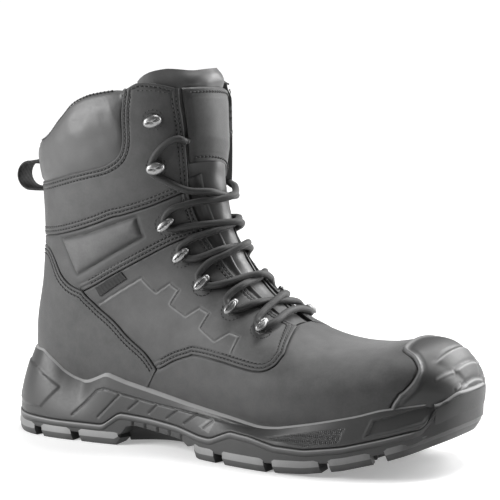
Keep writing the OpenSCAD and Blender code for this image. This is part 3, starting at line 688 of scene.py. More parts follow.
def make_counter():
    edge = seam([[8.95, 160], [8.9, 124], [8.9, 106]], COUNTER_LOW, COUNTER_HIGH[:4])
    grid = ruled(edge, over_back(edge), 1.5)
    free = seam(COUNTER_LOW, COUNTER_HIGH)
    panel("counter_leather", grid, ["heel_counter"], lift=0.55, free=[free, over_back(free)],
          rows=COUNTER_ROWS, bead=0.8)


def facing_rise(u, v, start):
    """How far the front of the inner facing stands off the tongue, from a station up."""
    return STAND_OFF * (1 - bump_step(np.abs(v) - FACING_FRONT, 16)) * bump_step(u - start, 0.8)


def make_facing(side):
    way = SIDES[side]
    low = on_side(seam(FACING_EDGE_HIGH, BAND_LOW), way)
    high = on_side(seam(COLLAR_SEAM), way)
    top = on_side(seam([[16.55, 36.5], [16.85, 50], [17.04, 63], [16.95, 73]]), way)

    def stand_off(u, v, _on):
        rise = facing_rise(u, v, 11.6)
        return rise * (1 - 0.7 * bump_step(u - 15.7, 0.6)), 0 * u
    grid = ruled(low, high, 1.3)
    rise = np.sin(np.pi * np.clip((np.abs(grid[..., 1]) - FACING_FRONT) / 38, 0, 1))
    high_up = bump_step(grid[..., 0] - 16, 0.6)
    grid[..., 0] += high_up * (0.13 * rise - 0.19 * bump_step(np.abs(grid[..., 1]) - 65, 10))
    panel("facing_leather_" + side, grid, ["facing_" + side], lift=0.5, thickness=2.6,
          free=[low, high, top], relief=stand_off if side == "medial" else None)


make_vamp()
make_counter()
for side in SIDES:
    make_quarter(side)
    make_ankle_panel(side)
    make_facing(side)


# ---- Toe bumper ----

def make_toe_bumper():
    toe = toe_edge()
    tip = np.stack([np.full(len(toe), 0.06), toe[:, 1]], 1)
    u, v = np.moveaxis(ruled(tip, toe, 0.7), -1, 0)
    on = skin(u, v)
    edge = grid_distance(on, toe)
    crest = 1.1 * bell(edge - 1.5, 1.1)
    d = 0.2 + crest - 1.2 * (1 - bump_step(edge, 0.6)) - 0.45 * bell(edge - 4.6, 1.5)
    # The crest, the ledges' edges and the side ridges carry painted highlight.
    painted_light = 0.6 * crest
    near_tip = 1 - bump_step(np.abs(v) - 34, 34)
    d -= 1.3 * near_tip * (1 - bump_step(u - 2.1, 0.7))
    for station, rise, end in ((1.93, 0.75, 40), (1.28, 0.75, 34), (0.62, 0.6, 52)):
        bend = station + 0.1 * (v / 40) ** 2
        fade = 1 - bump_step(np.abs(v) - end + 6, 12)
        far = (u - bend) * 15
        d += rise * fade * (1 - bump_step(far + 0.5, 1.0)) * np.exp(np.minimum(far, 0) / 5)
        d -= 0.4 * fade * bell(far - 1.5, 1.1)
        painted_light = painted_light + 1.5 * fade * bell(far + 0.3, 0.6)
    for way in (1, -1):
        for line in ([[1.83, 67], [1.62, 55], [1.4, 41]], [[1.1, 67], [0.98, 56]]):
            gap = grid_distance(on, on_side(seam(line), way))
            d += 0.35 * bell(gap, 0.7) - 0.15 * bell(gap - 1.9, 0.9)
            painted_light = painted_light + 1.2 * bell(gap, 0.6)
    add_piece("toe_bumper_cap", slab(layer(u, v, d), layer(u, v, np.full(u.shape, -2.0))),
              BUMPER, ["toe_bumper"], marks={"painted_light": on_top(painted_light)})


make_toe_bumper()


# ---- Collar and lining ----

def make_collar():
    t = np.linspace(0, len(COLLAR_SEAM) - 1, 150)
    low, high = smooth([[16.5, 73.5]] + COLLAR_SEAM[1:], t), smooth(COLLAR_RIM, t)
    low, high = (resampled(np.concatenate([half, over_back(half)[::-1][1:]]),
                           np.linspace(0, 1, 260)) for half in (low, high))
    roll, f = 4.2, np.linspace(-0.12, 1, 16)[:, None]
    pace = np.linalg.norm(slopes(high[:, 0], high[:, 1])[0], axis=1)
    narrow = np.linalg.norm(points_at(high) - points_at(low), axis=1)
    high[:, 0] -= np.minimum(roll, 0.6 * narrow) / pace
    tall = np.linalg.norm(points_at(high) - points_at(low), axis=1)
    uv = low + (high - low) * f[..., None]
    puff = np.clip(tall / 20, 0, 1) * 1.6
    d = -1.5 * (1 - bump_step(f + 0.12, 0.3)) + puff * np.sin(np.pi * np.clip(f, 0, 1)) ** 0.7
    folds = np.clip(tall / 20, 0, 1) * bump_step(f, 0.3) * (1 - bump_step(f - 0.7, 0.3))
    wall = points_at(uv)
    d = d + 0.7 * folds * swell(wall * [1, 1, 2.2], 17, 5) + 0.3 * folds * swell(wall, 7, 6)
    wall = layer(uv[..., 0], uv[..., 1], d)
    rim, normal = points_at(high), normals_at(high)
    up = unit(slopes(high[:, 0], high[:, 1])[0])
    rows = list(wall)
    for a in np.linspace(0, np.pi, 11)[1:]:
        rows.append(rim - roll * normal + roll * (math.cos(a) * normal + math.sin(a) * up))
    for g in np.linspace(1, -0.1, 9)[1:]:
        place = low + (high - low) * g
        rows.append(layer(place[:, 0], place[:, 1],
                          np.full(len(place), -2 * roll - 0.9 * math.sin(math.pi * max(g, 0)))))
    piece = add_piece("collar_pad", facing_out(swept(np.stack(rows, 1))), SOFT_LEATHER,
                      ["collar_cover", "collar_padding"])


def make_shaft_lining():
    stations = np.linspace(8.3, 14.6, 30)
    grid = np.array([[[u, v] for v in np.linspace(38, 322, 90)] for u in stations])
    u, v = grid[..., 0], grid[..., 1]
    deep = -5.3 + 0 * u
    inner = layer(u, v, deep - 2.2 - 0.5 * swell(skin(u, v), 30, 8))
    add_piece("shaft_lining_mesh", slab(layer(u, v, deep), inner), LINING,
              ["shaft_lining"])


make_collar()
make_shaft_lining()


# ---- Tongue ----

TONGUE_WIDTH = [[6.5, 12], [8, 20], [10, 28], [12, 33], [14, 34], [15.2, 36], [15.9, 55],
                [16.6, 66], [16.95, 68]]


def make_tongue():
    stations = np.concatenate([np.linspace(6.5, 15.2, 60), np.linspace(15.28, 16.95, 26)])
    half = np.interp(stations, *np.array(TONGUE_WIDTH).T)
    across = np.linspace(-1, 1, 61)
    u = np.repeat(stations[:, None], len(across), 1)
    v = half[:, None] * across
    on = skin(u, v)
    sink = np.interp(u, [6.5, 12.6, 13.4, 15.9, 16.45, 16.8], [1.5, 1.7, 3.4, 3.4, 0.6, 0.8])
    wide = np.interp(u, [12.9, 13.3], [5.5, 3.0])
    d = -sink - np.minimum(wide * (v / 33) ** 2, wide)
    d -= np.interp(np.abs(v), [34, 46], [0, 1]) * 1.2
    edge = 1 - np.abs(across)[None, :] ** 8
    d += 0.7 * swell(on * [1, 1, 2], 15, 3) * edge + 0.3 * swell(on, 6, 4) * edge
    top = bump_step(stations - 16.5, 0.5)[:, None]
    d -= 3.2 * top ** 2
    u = u + top * (0.08 + 0.2 * bump_step(v - 15, 30) - 0.25 * np.abs(across)[None, :] ** 14)
    thick = 5.0 * np.sqrt(np.clip(1 - np.abs(across) ** 6, 0.03, 1))[None, :]
    thick = thick * (1 - 0.55 * top ** 3)
    piece = add_piece("tongue_pad", slab(layer(u, v, d), layer(u, v, d - thick - 0.8)),
                      SOFT_LEATHER, ["tongue_lower", "tongue_top"], None)
    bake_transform(piece)


# The keeper's lower and upper edges: a station, and how it climbs to the outer side.
KEEPER_LOW, KEEPER_LOW_SLANT = 12.82, 0.0145
KEEPER_HIGH, KEEPER_HIGH_SLANT = 16.19, 0.0068


def make_keeper():
    f, v = np.meshgrid(np.linspace(0, 1, 44), np.linspace(-31, 33, 50), indexing="ij")
    bottom, top = KEEPER_LOW + KEEPER_LOW_SLANT * v, KEEPER_HIGH + KEEPER_HIGH_SLANT * v
    u = bottom + (top - bottom) * f
    on = skin(u, v)
    d = 0.1 - np.interp(u - bottom, [0, 0.4, 1.1], [1.9, 1.5, 0])
    d -= 1.3 * bump_step(np.abs(v) - 27, 4)
    hem = np.minimum(u - bottom, top - u) * 14
    for row in (3.0, 5.0):
        d -= 0.35 * bell(hem - row, 0.7)
    d -= 1.2 * (1 - bump_step(hem, 1.2)) + 0.35 * np.abs(swell(on, 22, 7))
    add_piece("lace_keeper_flap", slab(layer(u, v, d), layer(u, v, d - 1.2)), NUBUCK,
              ["lace_keeper"], "tongue", marks={"edge": np.full(2 * d.size, 5.0)})


def make_gusset(side):
    way = SIDES[side]
    front = [[6.9, 8], [8.7, 12], [10, 14.5], [11.5, 20], [12.7, 23]]
    back = [[6.9, 12.5], [8.7, 21.5], [10, 28], [11.5, 33], [12.7, 37]]
    t = np.linspace(0, 4, 60)
    a, b = smooth(front, t), smooth(back, t)
    grid = a[:, None] + (b - a)[:, None] * np.linspace(0, 1, 24)[None, :, None]
    u, v = grid[..., 0], grid[..., 1] * way
    across = np.linspace(0, 1, 24)[None]
    face = -0.5 - 5.5 * (v / 33) ** 2 + 0.5 * np.sin(across * 9) + 0.3 * swell(skin(u, v), 9, 9)
    add_piece("gusset_fold_" + side, slab(layer(u, v, face), layer(u, v, face - 0.8)),
              SOFT_LEATHER, ["gusset_" + side])


make_tongue()
make_keeper()
for side in SIDES:
    make_gusset(side)


# ---- Sole ----

def sole_outline(count=2400):
    """Even points round the sole from the middle of the heel, outer side first, and the
    directions that point out of them."""
    line = smooth_closed(SOLE_PLAN, np.linspace(0, len(SOLE_PLAN), count))
    far = lengths(line)
    even = np.linspace(0, far[-1], count)
    line = spaced(even, far, line)[:-1]
    way = (np.roll(line, -8, 0) - np.roll(line, 8, 0))
    out = unit(np.stack([-way[:, 1], way[:, 0]], 1))
    if np.mean(np.sum(out * (line - [110, 0]), 1)) < 0:
        out = -out
    return line, out


OUTLINE, OUTWARD = sole_outline()
TOE_INDEX = int(np.argmax(OUTLINE[:, 0]))


def near_line(x, z, corners):
    """Distance from points (x, z) to a line through corners."""
    best = np.full(np.shape(x), 99.0)
    for (xa, za), (xb, zb) in zip(corners[:-1], corners[1:]):
        dx, dz = xb - xa, zb - za
        t = np.clip(((x - xa) * dx + (z - za) * dz) / (dx * dx + dz * dz), 0, 1)
        best = np.minimum(best, np.hypot(x - xa - t * dx, z - za - t * dz))
    return best


class Wall:
    """Rings of points along the sole's outline: each lies out from it, at a height, with an amount
    of painted highlight."""

    def __init__(self, first=0, last=None, step=2):
        self.line, self.out = OUTLINE[first:last:step], OUTWARD[first:last:step]
        self.x = self.line[:, 0]
        self.rows, self.painted_light_values = [], []

    def add(self, offset, z, painted_light=0.0):
        offset, z, painted_light = (np.broadcast_to(value, len(self.line)) for value in (offset, z, painted_light))
        self.add_ring(self.line + self.out * offset[:, None], z, painted_light)

    def add_ring(self, plan, z, painted_light):
        self.rows.append(np.concatenate([plan, z[:, None]], 1))
        self.painted_light_values.append(painted_light)

    def make(self, name, material, stands_for=(), looped=True):
        shape = facing_out(swept(np.stack(self.rows, 1), looped))
        add_piece(name, shape, material, stands_for, crease=30,
                  marks={"painted_light": np.stack(self.painted_light_values, 1)})


WALL_GROOVES = [
    [[16, 16], [25, 25], [33, 33], [39, 34.6], [54, 32], [72, 29.5], [113, 26.4], [153, 23.6]],
    [[35, 16.5], [50, 31.7]], [[57, 23.4], [64, 29.2]], [[72, 22.5], [78, 28.3]],
    [[86, 21], [94, 27]], [[100, 20], [109, 27]], [[116, 19.4], [122, 24.6]]]
TOE_SLOT = [[226, 26], [230, 35], [252, 42.6], [260, 44.5], [259, 38.4], [256, 34.5],
            [240, 29], [226, 26]]
PEBBLES = [[159, 20], [215, 31], [211, 21], [190, 17], [159, 20]]
LIT_FACET = [[112, 20], [120, 26.5], [124, 24.6], [121, 17], [112, 20]]
HEEL_CHEVRON = [[-60, 47], [-18, 43], [4, 32], [-9, 18], [-60, 20]]


def within(x, z, corners):
    inside = np.zeros(np.shape(x), bool)
    for (xa, za), (xb, zb) in zip(corners[:-1], corners[1:]):
        hit = (za > z) != (zb > z)
        cross = xa + (z - za) * (xb - xa) / (zb - za if zb != za else 1e-9)
        inside ^= hit & (x < cross)
    return inside


def wall_relief(x, z):
    d = np.zeros(np.shape(x))
    for groove in WALL_GROOVES:
        d -= 0.8 * bell(near_line(x, z, groove), 0.55)
    slot = near_line(x, z, TOE_SLOT)
    d -= np.where(within(x, z, TOE_SLOT), 0.9 * bump_step(slot, 0.9), 0)
    d += 0.3 * bell(slot - 0.5, 0.6) * ~within(x, z, TOE_SLOT)
    edge = near_line(x, z, HEEL_CHEVRON)
    d += np.where(within(x, z, HEEL_CHEVRON), 0.8 * bump_step(edge, 0.9), 0)
    panel_edge = bump_step(near_line(x, z, PEBBLES), 1.0)
    cell = 0.5 * np.sin((x + z) * 2.6) * np.sin((x - z * 1.4) * 2.6)
    d += np.where(within(x, z, PEBBLES), (cell - 0.35) * panel_edge * 0.7, 0)
    return d


def way_to_skin(line, out, z):
    """How far in from the outline the upper's skin is met, at a height for each point."""
    u, v = np.meshgrid(np.linspace(0.2, 14, 420), np.linspace(40, 320, 360), indexing="ij")
    points, normals = skin(u, v).reshape(-1, 3), skin_normal(u, v).reshape(-1, 3)
    tree = finder(points)
    found = np.zeros(len(line))
    for i, (place, way) in enumerate(zip(line, out)):
        offset = 0.0
        while offset > -22:
            spot = Vector((*(place + way * offset), z[i]))
            _, k, _ = tree.find(spot)
            signed = float(np.dot(np.array(spot) - points[k], normals[k]))
            if signed < 0.1:
                break
            offset -= max(0.15, 0.6 * signed)
        found[i] = offset
    kernel = np.hanning(17) / np.hanning(17).sum()
    return np.convolve(np.concatenate([found[-8:], found, found[:8]]), kernel, "valid")


def make_midsole():
    wall = Wall()
    x = wall.x
    low = height_at(MID_LINE, x) + 0.1
    top = np.maximum(height_at(CUP_LINE, x), low + 1.5)
    guard = 1 - bump_step(x - 257, 4)
    bevel = np.interp(x, [-43, 18, 27, 60, 110, 152, 200, 275],
                      [2.2, 2.0, 3.3, 3.1, 2.6, 1.8, 1.5, 1.2]) * (0.35 + 0.65 * guard)
    reach = way_to_skin(wall.line, wall.out, top) - 0.3
    lean = np.minimum(0, reach + bevel)
    guarded = -2.6 * (1 - guard)
    wall.add(-5, low)
    wall.add(-0.9, low)
    for f in np.linspace(0, 1, 44):
        z = low + (top - 0.8 * bevel - low) * f
        round_low = -0.5 * (1 - bump_step((z - low), 0.8))
        # The lit facet carries a painted highlight.
        lit = within(x, z, LIT_FACET)
        wall.add(lean * f ** 1.6 + round_low + wall_relief(x, z) * guard + guarded, z, 0.35 * lit)
    # The bevel's rings carry painted highlight, strongest at its middle.
    wall.add(lean + 0.1 + guarded, top - 0.75 * bevel, 0.5)
    wall.add(lean - 0.08 * bevel + guarded, top - 0.62 * bevel, 1.0)
    wall.add(lean - 0.75 * bevel + guarded, top - 0.12 * bevel, 0.9)
    wall.add(lean - 0.95 * bevel + guarded, top, 0.3)
    wall.add(np.minimum(reach, lean - bevel) - 0.3 + guarded, top - 0.3)
    wall.add(np.minimum(reach, lean - bevel) - 1.2 + guarded, top - 2.5)
    wall.add(-11 + lean, np.maximum(top - 5, low + 0.9))
    wall.add(-11, low + 0.4)
    wall.make("midsole_wall", MOULDED, ["midsole"])


def side_depth(x):
    """How far the underside lies above the tread line: less in the arch."""
    return np.interp(x, [-43, 49, 53, 103, 108, 275], [5.2, 5.2, 0.3, 0.3, 5.2, 5.2])


def make_outsole():
    wall = Wall()
    x, line = wall.x, wall.line
    top, tread = height_at(MID_LINE, x), height_at(TREAD, x)
    low = tread + side_depth(x)
    middle = np.stack([np.clip(x, -5, 235), 0.02 * line[:, 1] - 1], 1)
    sipes = np.zeros(x.shape)
    for at in np.linspace(60, 98, 5):
        sipes -= 1.3 * bell(x - at, 0.8) * (np.abs(line[:, 1]) > 20)
    ledge = np.maximum(top - 4.2, low + 1.5)
    tuck = -2.5 * bump_step(x - 250, 8)
    wall.add(-6 + tuck, top - 0.25)
    wall.add(-1.0 + tuck, top - 0.25)
    wall.add(-0.2 + tuck, top - 0.35)
    # The ridge at the top of the outsole carries painted highlight.
    wall.add(0.55 + tuck, top - 0.95, 0.9)
    wall.add(0.7 + tuck, top - 1.3, 0.3)
    wall.add(0.6 + tuck, np.maximum(top - 3.2, low + 2.4))
    wall.add(0.25 + tuck, np.maximum(top - 3.9, low + 1.9))
    wall.add(tuck + sipes, ledge)
    wall.add(tuck + sipes, (ledge + low) / 2)
    wall.add(-0.2 + tuck + sipes, low + 0.4)
    wall.add(-0.8 + tuck, low)
    for f, rise in ((0.85, 0), (0.6, 0), (0.3, 0), (0.0, 0), (0.0, 1.2), (0.5, 1.2)):
        wall.add_ring(middle + (line - middle) * f, low + rise, np.zeros(len(x)))
    wall.make("outsole_shell", RUBBER, ["outsole"])


LUG_GAPS_OUTER = [(-14, -9), (15, 20), (49, 108), (125, 131), (163, 168), (199, 204), (229, 235)]
LUG_GAPS_INNER = [(-14, -9), (15, 20), (49, 108), (123, 129), (161, 166), (197, 202), (229, 235)]
LUG_TALL = 8.2
# A lug's section: how far out, how high over the tread, and how much painted highlight its face
# gets.
LUG_PROFILE = [(-1.0, LUG_TALL, 0), (-0.3, LUG_TALL, 0.55), (0.1, 7.6, 0.7),
               (1.0, 4.0, 0.7), (1.05, 3.7, 0.1), (0.4, 0.35, 0), (0.0, 0.0, 0), (-13, 0.0, 0),
               (-13.6, 0.6, 0), (-15, 6.0, 0), (-14, LUG_TALL, 0)]
POINT_GAP = 0.33  # how far apart the outline's points are taken to be


def rim_lug(first, last, slant=3.0):
    """A block of the rim between two places on the outline, its ends slanted."""
    rings = []
    steps = max(8, abs(last - first) // 8)
    for f in np.linspace(0, 1, steps):
        ring = []
        for offset, z, _ in LUG_PROFILE:
            lean = slant * (1 - z / LUG_TALL) / POINT_GAP
            at = first + (last - first) * f + (lean if first < TOE_INDEX else -lean)
            i = int(np.clip(at, 0, len(OUTLINE) - 1))
            place = OUTLINE[i]
            inset = offset - 0.4 * (offset > 0) * (f in (0.0, 1.0))
            inset -= 2.6 * bump_step(place[0] - 244, 18) * (1 + 0.25 * (LUG_TALL - z))
            place = place + OUTWARD[i] * inset
            tread, ceiling = height_at(TREAD, place[0]), height_at(MID_LINE, OUTLINE[i][0]) - 3.9
            ring.append([*place, tread + min(z, max(ceiling - tread, 3.0 + 0.05 * z))])
        rings.append(ring)
    return facing_out(swept(rings))


def outline_index(x, outer):
    half = OUTLINE[:TOE_INDEX] if outer else OUTLINE[TOE_INDEX:]
    base = 0 if outer else TOE_INDEX
    return base + int(np.argmin(np.abs(half[:, 0] - x)))


def block(outline, height=5.6):
    """A tread block: an outline in plan, with slightly sloping sides."""
    outline = np.asarray(outline, float)
    middle = outline.mean(0)
    rings = []
    for z, grow in ((0.0, 0.90), (0.35, 0.96), (height, 1.06)):
        plan = middle + (outline - middle) * grow
        rings.append([[x, y, height_at(TREAD, x) + z] for x, y in plan])
    return facing_out(swept(rings))


def make_lugs():
    bodies = []
    for outer, gaps in ((True, LUG_GAPS_OUTER), (False, LUG_GAPS_INNER)):
        stops = [g for gap in gaps for g in gap]
        edges = [(stops[i], stops[i + 1]) for i in range(1, len(stops) - 1, 2)]
        for a, b in edges:
            first, last = sorted((outline_index(a, outer), outline_index(b, outer)))
            bodies.append(rim_lug(first + 2, last - 2))
    bodies.append(rim_lug(0, outline_index(-14, True) - 2))
    bodies.append(rim_lug(outline_index(-14, False) + 2, len(OUTLINE) - 1))
    bodies.append(rim_lug(outline_index(236, True), outline_index(236, False)))
    rims = len(bodies)
    for x in (0, 33):
        for y in (-13, 6):
            bodies.append(block([[x - 9, y - 3], [x, y - 6], [x + 9, y - 3], [x + 9, y + 8],
                                 [x, y + 11], [x - 9, y + 8]]))
    for x in (119, 138, 157, 176, 195, 214):
        half = np.interp(x, [119, 176, 214], [24, 34, 28])
        for y0, y1 in ((-half, -half * 0.36), (-half * 0.3, half * 0.3), (half * 0.36, half)):
            bodies.append(block([[x - 2, y0], [x + 10, y0], [x + 6, (y0 + y1) / 2],
                                 [x + 10, y1], [x - 2, y1], [x - 6, (y0 + y1) / 2]]))
    shape = joined(bodies)
    painted_light_values = np.zeros(len(shape[0]))
    along = sum(len(body[0]) for body in bodies[:rims])
    # The rim lugs' upper facets carry painted highlight.
    painted_light_values[:along] = np.tile([step[2] for step in LUG_PROFILE], along // len(LUG_PROFILE))
    add_piece("outsole_lugs", shape, RUBBER, crease=25, marks={"painted_light": painted_light_values})


def make_arch_bridge():
    """The raised rubber under the arch, inwards of the recess on the outer side."""
    rings = []
    for x in np.linspace(49.5, 107.5, 40):
        f = (x - 49.5) / 58
        low = 0.4 + 1.3 * math.sin(math.pi * f)
        y0, y1 = -26 + 6 * math.sin(math.pi * f), 31 + 3 * f
        rings.append([[x, y0 + 1.5, 15], [x, y0, 8], [x, y0 + 2, low + 0.8], [x, y0 + 3, low],
                      [x, y1 - 2, low], [x, y1, low + 1.5], [x, y1, 8], [x, y1 - 2, 15]])
    add_piece("outsole_arch", facing_out(swept(rings)), RUBBER,
              marks={"painted_light": np.zeros(8 * len(rings))})


def make_toe_guard():
    """The outsole's wall that wraps up in front of the toe, with a ledge on top."""
    wall = Wall(outline_index(262, True), outline_index(262, False), 3)
    low = height_at(TREAD, wall.x) + 6.5
    count = np.arange(len(wall.x))
    near_end = np.minimum(count, count[::-1]) * 0.36
    top = 50.6 - 6 * (1 - bump_step(near_end, 8))
    wall.add(-6.5, low)
    wall.add(-4.2, low)
    for f in np.linspace(0, 1, 14):
        z = low + (top - 1.6 - low) * f
        wall.add(-1.7 - 2.4 * (1 - f) ** 2.2 + 0.2 * math.sin(math.pi * f), z)
    # The ledge on top carries painted highlight.
    wall.add(-2.0, top - 0.8, 0.7)
    wall.add(-2.8, top - 0.1, 0.9)
    wall.add(-5.6, top + 0.3, 0.5)
    wall.add(-6.5, top - 1.2)
    wall.make("toe_guard", RUBBER, looped=False)


make_midsole()
make_outsole()
make_lugs()
make_arch_bridge()
make_toe_guard()


# ---- Stitches ----

STITCH_PITCH, STITCH_LENGTH, STITCH_R = 2.7, 1.9, 0.42


def stitch_body(start, stop, normal, r=STITCH_R):
    """A short thread that rises from one hole and dives into the next."""
    way = unit(stop - start)
    side = unit(np.cross(way, normal))
    rings = []
    for f, rise, size in ((0, -0.35, 0.5), (0.12, 0.05, 0.9), (0.5, 0.2, 1), (0.88, 0.05, 0.9),
                          (1, -0.35, 0.5)):
        middle = start + (stop - start) * f + normal * rise
        rings.append([middle + r * size * (math.cos(a) * side + 0.8 * math.sin(a) * normal)
                      for a in turns(6)])
    return swept(rings)


def hole_shadow_disc(place, normal, way, r=0.72):
    """A small black disc of painted shade in the dimple where the needle went through."""
    side = unit(np.cross(way, normal))
    ring = [place + r * (math.cos(a) * side + math.sin(a) * way) + 0.03 * normal
            for a in turns(6)]
    low = [q - 0.4 * normal for q in ring]
    return swept([low, ring])


def add_stitches(name, threads, hole_shadows, body="boot"):
    # The needle holes are black discs of painted shade.
    for part, bodies, finish in (("stitches", threads, THREAD), ("needle_hole_shadows", hole_shadows, HOLE_SHADOW)):
        add_piece(name + "_" + part, joined(bodies), finish, (), body, crease=0)


def sew(name, rows, lift, body="boot"):
    """Rows of stitches along lines of places on the skin, all as one piece. Each row is a
    line of [station, angle]."""
    threads, hole_shadows = [], []
    for number, line in enumerate(rows):
        on, normal = points_at(line), normals_at(line)
        height = lift(line) if callable(lift) else lift
        on = on + np.broadcast_to(height, len(on))[:, None] * normal
        far = lengths(on)
        starts = np.arange(0.8 + 0.5 * STITCH_PITCH * (number % 2), far[-1] - 2.2, STITCH_PITCH)
        for begin in starts:
            place = [spaced(at, far, on) for at in (begin, begin + STITCH_LENGTH)]
            up = unit(spaced(begin + 1, far, normal))
            threads.append(stitch_body(*place, up))
            way = unit(place[1] - place[0])
            hole_shadows.append(hole_shadow_disc(place[0] - 0.4 * way, up, way))
    add_stitches(name, threads, hole_shadows, body)


def twin_rows(line, toward, at=SEAM_ROWS):
    return [moved(line, distance, toward) for distance in at]


def trimmed(line, first, last):
    """The line without its first and last stretches, in millimetres."""
    far = lengths(points_at(line))
    return line[(far >= first) & (far <= far[-1] - last)]


def sew_panel(name, side, lift, *lines):
    """Twin rows beside lines, each cut short at its ends and set towards a place."""
    way = SIDES[side]
    rows = []
    for line, first, last, toward in lines:
        rows += twin_rows(on_side(trimmed(line, first, last), way), on_side(toward, way))
    sew(name + side, rows, lift)


def facing_height(line):
    """Height of the facing over the skin, where the inner one stands off the tongue."""
    return 0.28 + (line[:, 1] < 0) * facing_rise(line[:, 0], line[:, 1], 12.9)


def make_stitches():
    for side in SIDES:
        sew_panel("quarter_", side, -0.02,
                  (seam([[6.42, 12.5]] + QUARTER_FRONT[1:], QUARTER_LOW), 0, 3, (7.6, 60)),
                  (seam(FACING_EDGE_LOW), 4, 1, (9, 50)))
        sew_panel("ankle_", side, 0.08, (seam(ANKLE_LOW), 2, 5, (12, 70)),
                  (seam(ANKLE_FRONT), 4, 2, (11.5, 50)))
        sew_panel("facing_", side, facing_height, (seam(BAND_LOW), 4.1, 1, (13.6, 75)),
                  (seam(COLLAR_SEAM), 4, 1, (13.6, 80)), (seam(FACING_EDGE_HIGH), 4, 2, (14.5, 50)),
                  (seam(FACING_TOP), 2, 2, (15.5, 55)))
    rows = []
    for row in twin_rows(trimmed(seam(COUNTER_LOW, COUNTER_HIGH[:4]), 2, 2), (10, 125),
                         COUNTER_ROWS):
        rows += [row, over_back(row)]
    sew("counter", rows, 0.43)
    across = np.linspace(-27, 30, 90)
    sew("keeper_low", [np.stack([13.06 + KEEPER_LOW_SLANT * across, across], 1)], -1.6, "tongue")
    sew("keeper_high", [np.stack([15.98 + KEEPER_HIGH_SLANT * across, across], 1)], 0.0,
        "tongue")
    rim = seam(COLLAR_RIM[1:])
    rim[:, 0] -= 0.02
    sew("collar_rim", [rim, over_back(rim)], -1.2)


make_stitches()


# ---- Lace hardware ----

def dome(along, across, tall, slot_at=0.0, slot_depth=0.0, rim=0.0):
    """A closed oval cap with a slot in its top, round the origin: points and faces."""
    rings = []
    for f in (0, 0.3, 0.55, 0.75, 0.88, 0.96, 1.0):
        ring = []
        for a in turns(40):
            c, k = math.cos(a), math.sin(a)
            x, y = along * f * c, across * f * k
            z = tall * math.sqrt(max(0.0, 1 - f ** 3.2))
            gap = abs(y - slot_at) - 0.45
            reach = abs(x) - along * 0.68
            inside = (1 - bump_step(gap + 0.35, 0.5)) * (1 - bump_step(reach, 0.7))
            lip = math.exp(-((gap - 0.25) / 0.35) ** 2) * (1 - bump_step(reach, 0.9))
            ring.append([x, y, z - slot_depth * inside + rim * lip])
        rings.append(ring)
    for f, z in ((1.02, -0.4), (0.9, -0.9), (0.2, -1.0)):
        rings.append([[along * f * math.cos(a), across * f * math.sin(a), z]
                      for a in turns(40)])
    rings[0] = [[0.001 * math.cos(a), 0.001 * math.sin(a), rings[0][0][2]] for a in turns(40)]
    return swept(rings)


def post(radius_low, radius_high, low, high, at=(0, 0), flare=0.5):
    """A round post between two heights, wider at its ends."""
    rings = []
    for f in np.linspace(0, 1, 6):
        r = radius_low + (radius_high - radius_low) * f + flare * (2 * f - 1) ** 4
        rings.append([[at[0] + r * math.cos(a), at[1] + r * math.sin(a), low + (high - low) * f]
                      for a in turns(24)])
    return swept(rings)


def placed(body, place, along, across, up):
    """A body moved from the origin to a place, turned into three directions."""
    points = np.asarray(body[0])
    points = place + points[:, :1] * along + points[:, 1:2] * across + points[:, 2:] * up
    return facing_out((points, body[1]))


def hardware_frame(u, v, turn):
    """A place on the skin, with directions along a cap, across it, and outwards."""
    u, v = np.array([float(u)]), np.array([float(v)])
    place, up = skin(u, v)[0], skin_normal(u, v)[0]
    rise, around = (unit(w)[0] for w in slopes(u, v))
    front = unit(around * -np.sign(v[0]))
    front = unit(front - up * np.dot(front, up))
    higher = unit(rise - up * np.dot(rise, up) - front * np.dot(rise, front))
    c, k = math.cos(math.radians(turn)), math.sin(math.radians(turn))
    return place, c * front + k * higher, unit(np.cross(up, c * front + k * higher)), up


def stitched_ring(name, spots, radius, count):
    """A ring of stitches round each loop or hook."""
    threads, hole_shadows = [], []
    for u, v, lift in spots:
        place, along, across, up = hardware_frame(u, v, 0)
        for k in range(count):
            ends = []
            for at in (k, k + 0.62):
                a = 2 * math.pi * at / count
                flat = place + radius * (math.cos(a) * along + math.sin(a) * across)
                here = shifted([[u, v]], [flat - place])
                ends.append(layer(here[:, 0], here[:, 1], np.array([lift]))[0])
            threads.append(stitch_body(ends[0], ends[1], up, 0.36))
            way = unit(ends[1] - ends[0])
            hole_shadows.append(hole_shadow_disc(ends[0] - 0.35 * way, up, way, 0.42))
    add_stitches(name, threads, hole_shadows)


def make_hardware(side):
    way = SIDES[side]
    loops, hooks, rings = [], [], []
    for u, v in LOOPS:
        place, *axes = hardware_frame(u, way * v, 4)
        along, _, up = axes
        for body, at in ((dome(5.2, 2.9, 1.9, 0.0, 0.9, 0.12), place + up * 5.1),
                         (dome(3.1, 2.3, 1.5), place + up * 4.2 + along * 4.0),
                         (post(1.5, 1.2, -1.5, 4.6), place),
                         (post(1.9, 1.5, -1.0, 3.9, at=(4.4, 0)), place),
                         (post(3.4, 3.1, -0.5, 0.75, flare=0), place)):
            loops.append(placed(body, at, *axes))
        rings.append((u, way * v, 0.2 if u > ANKLE_LOW[0][0] else 0.1))
    for u, v in HOOKS:
        place, *axes = hardware_frame(u, way * v, -14 + 15 * (u > 15))
        for body, at in ((dome(5.7, 4.0, 2.4, 0.2 * way, 0.8, 0.12), place + axes[2] * 5.2),
                         (post(2.2, 1.9, -1.5, 4.8), place),
                         (post(4.6, 4.2, -0.5, 1.3, flare=0), place)):
            hooks.append(placed(body, at, *axes))
        rings.append((u, way * v, 0.42))
    add_piece("lace_loop_set_" + side, joined(loops), GUNMETAL, ["lace_loops_" + side])
    add_piece("lace_hook_set_" + side, joined(hooks), GUNMETAL, ["lace_hooks_" + side])
    stitched_ring("hardware_" + side, rings, 6.4, 16)


for side in SIDES:
    make_hardware(side)


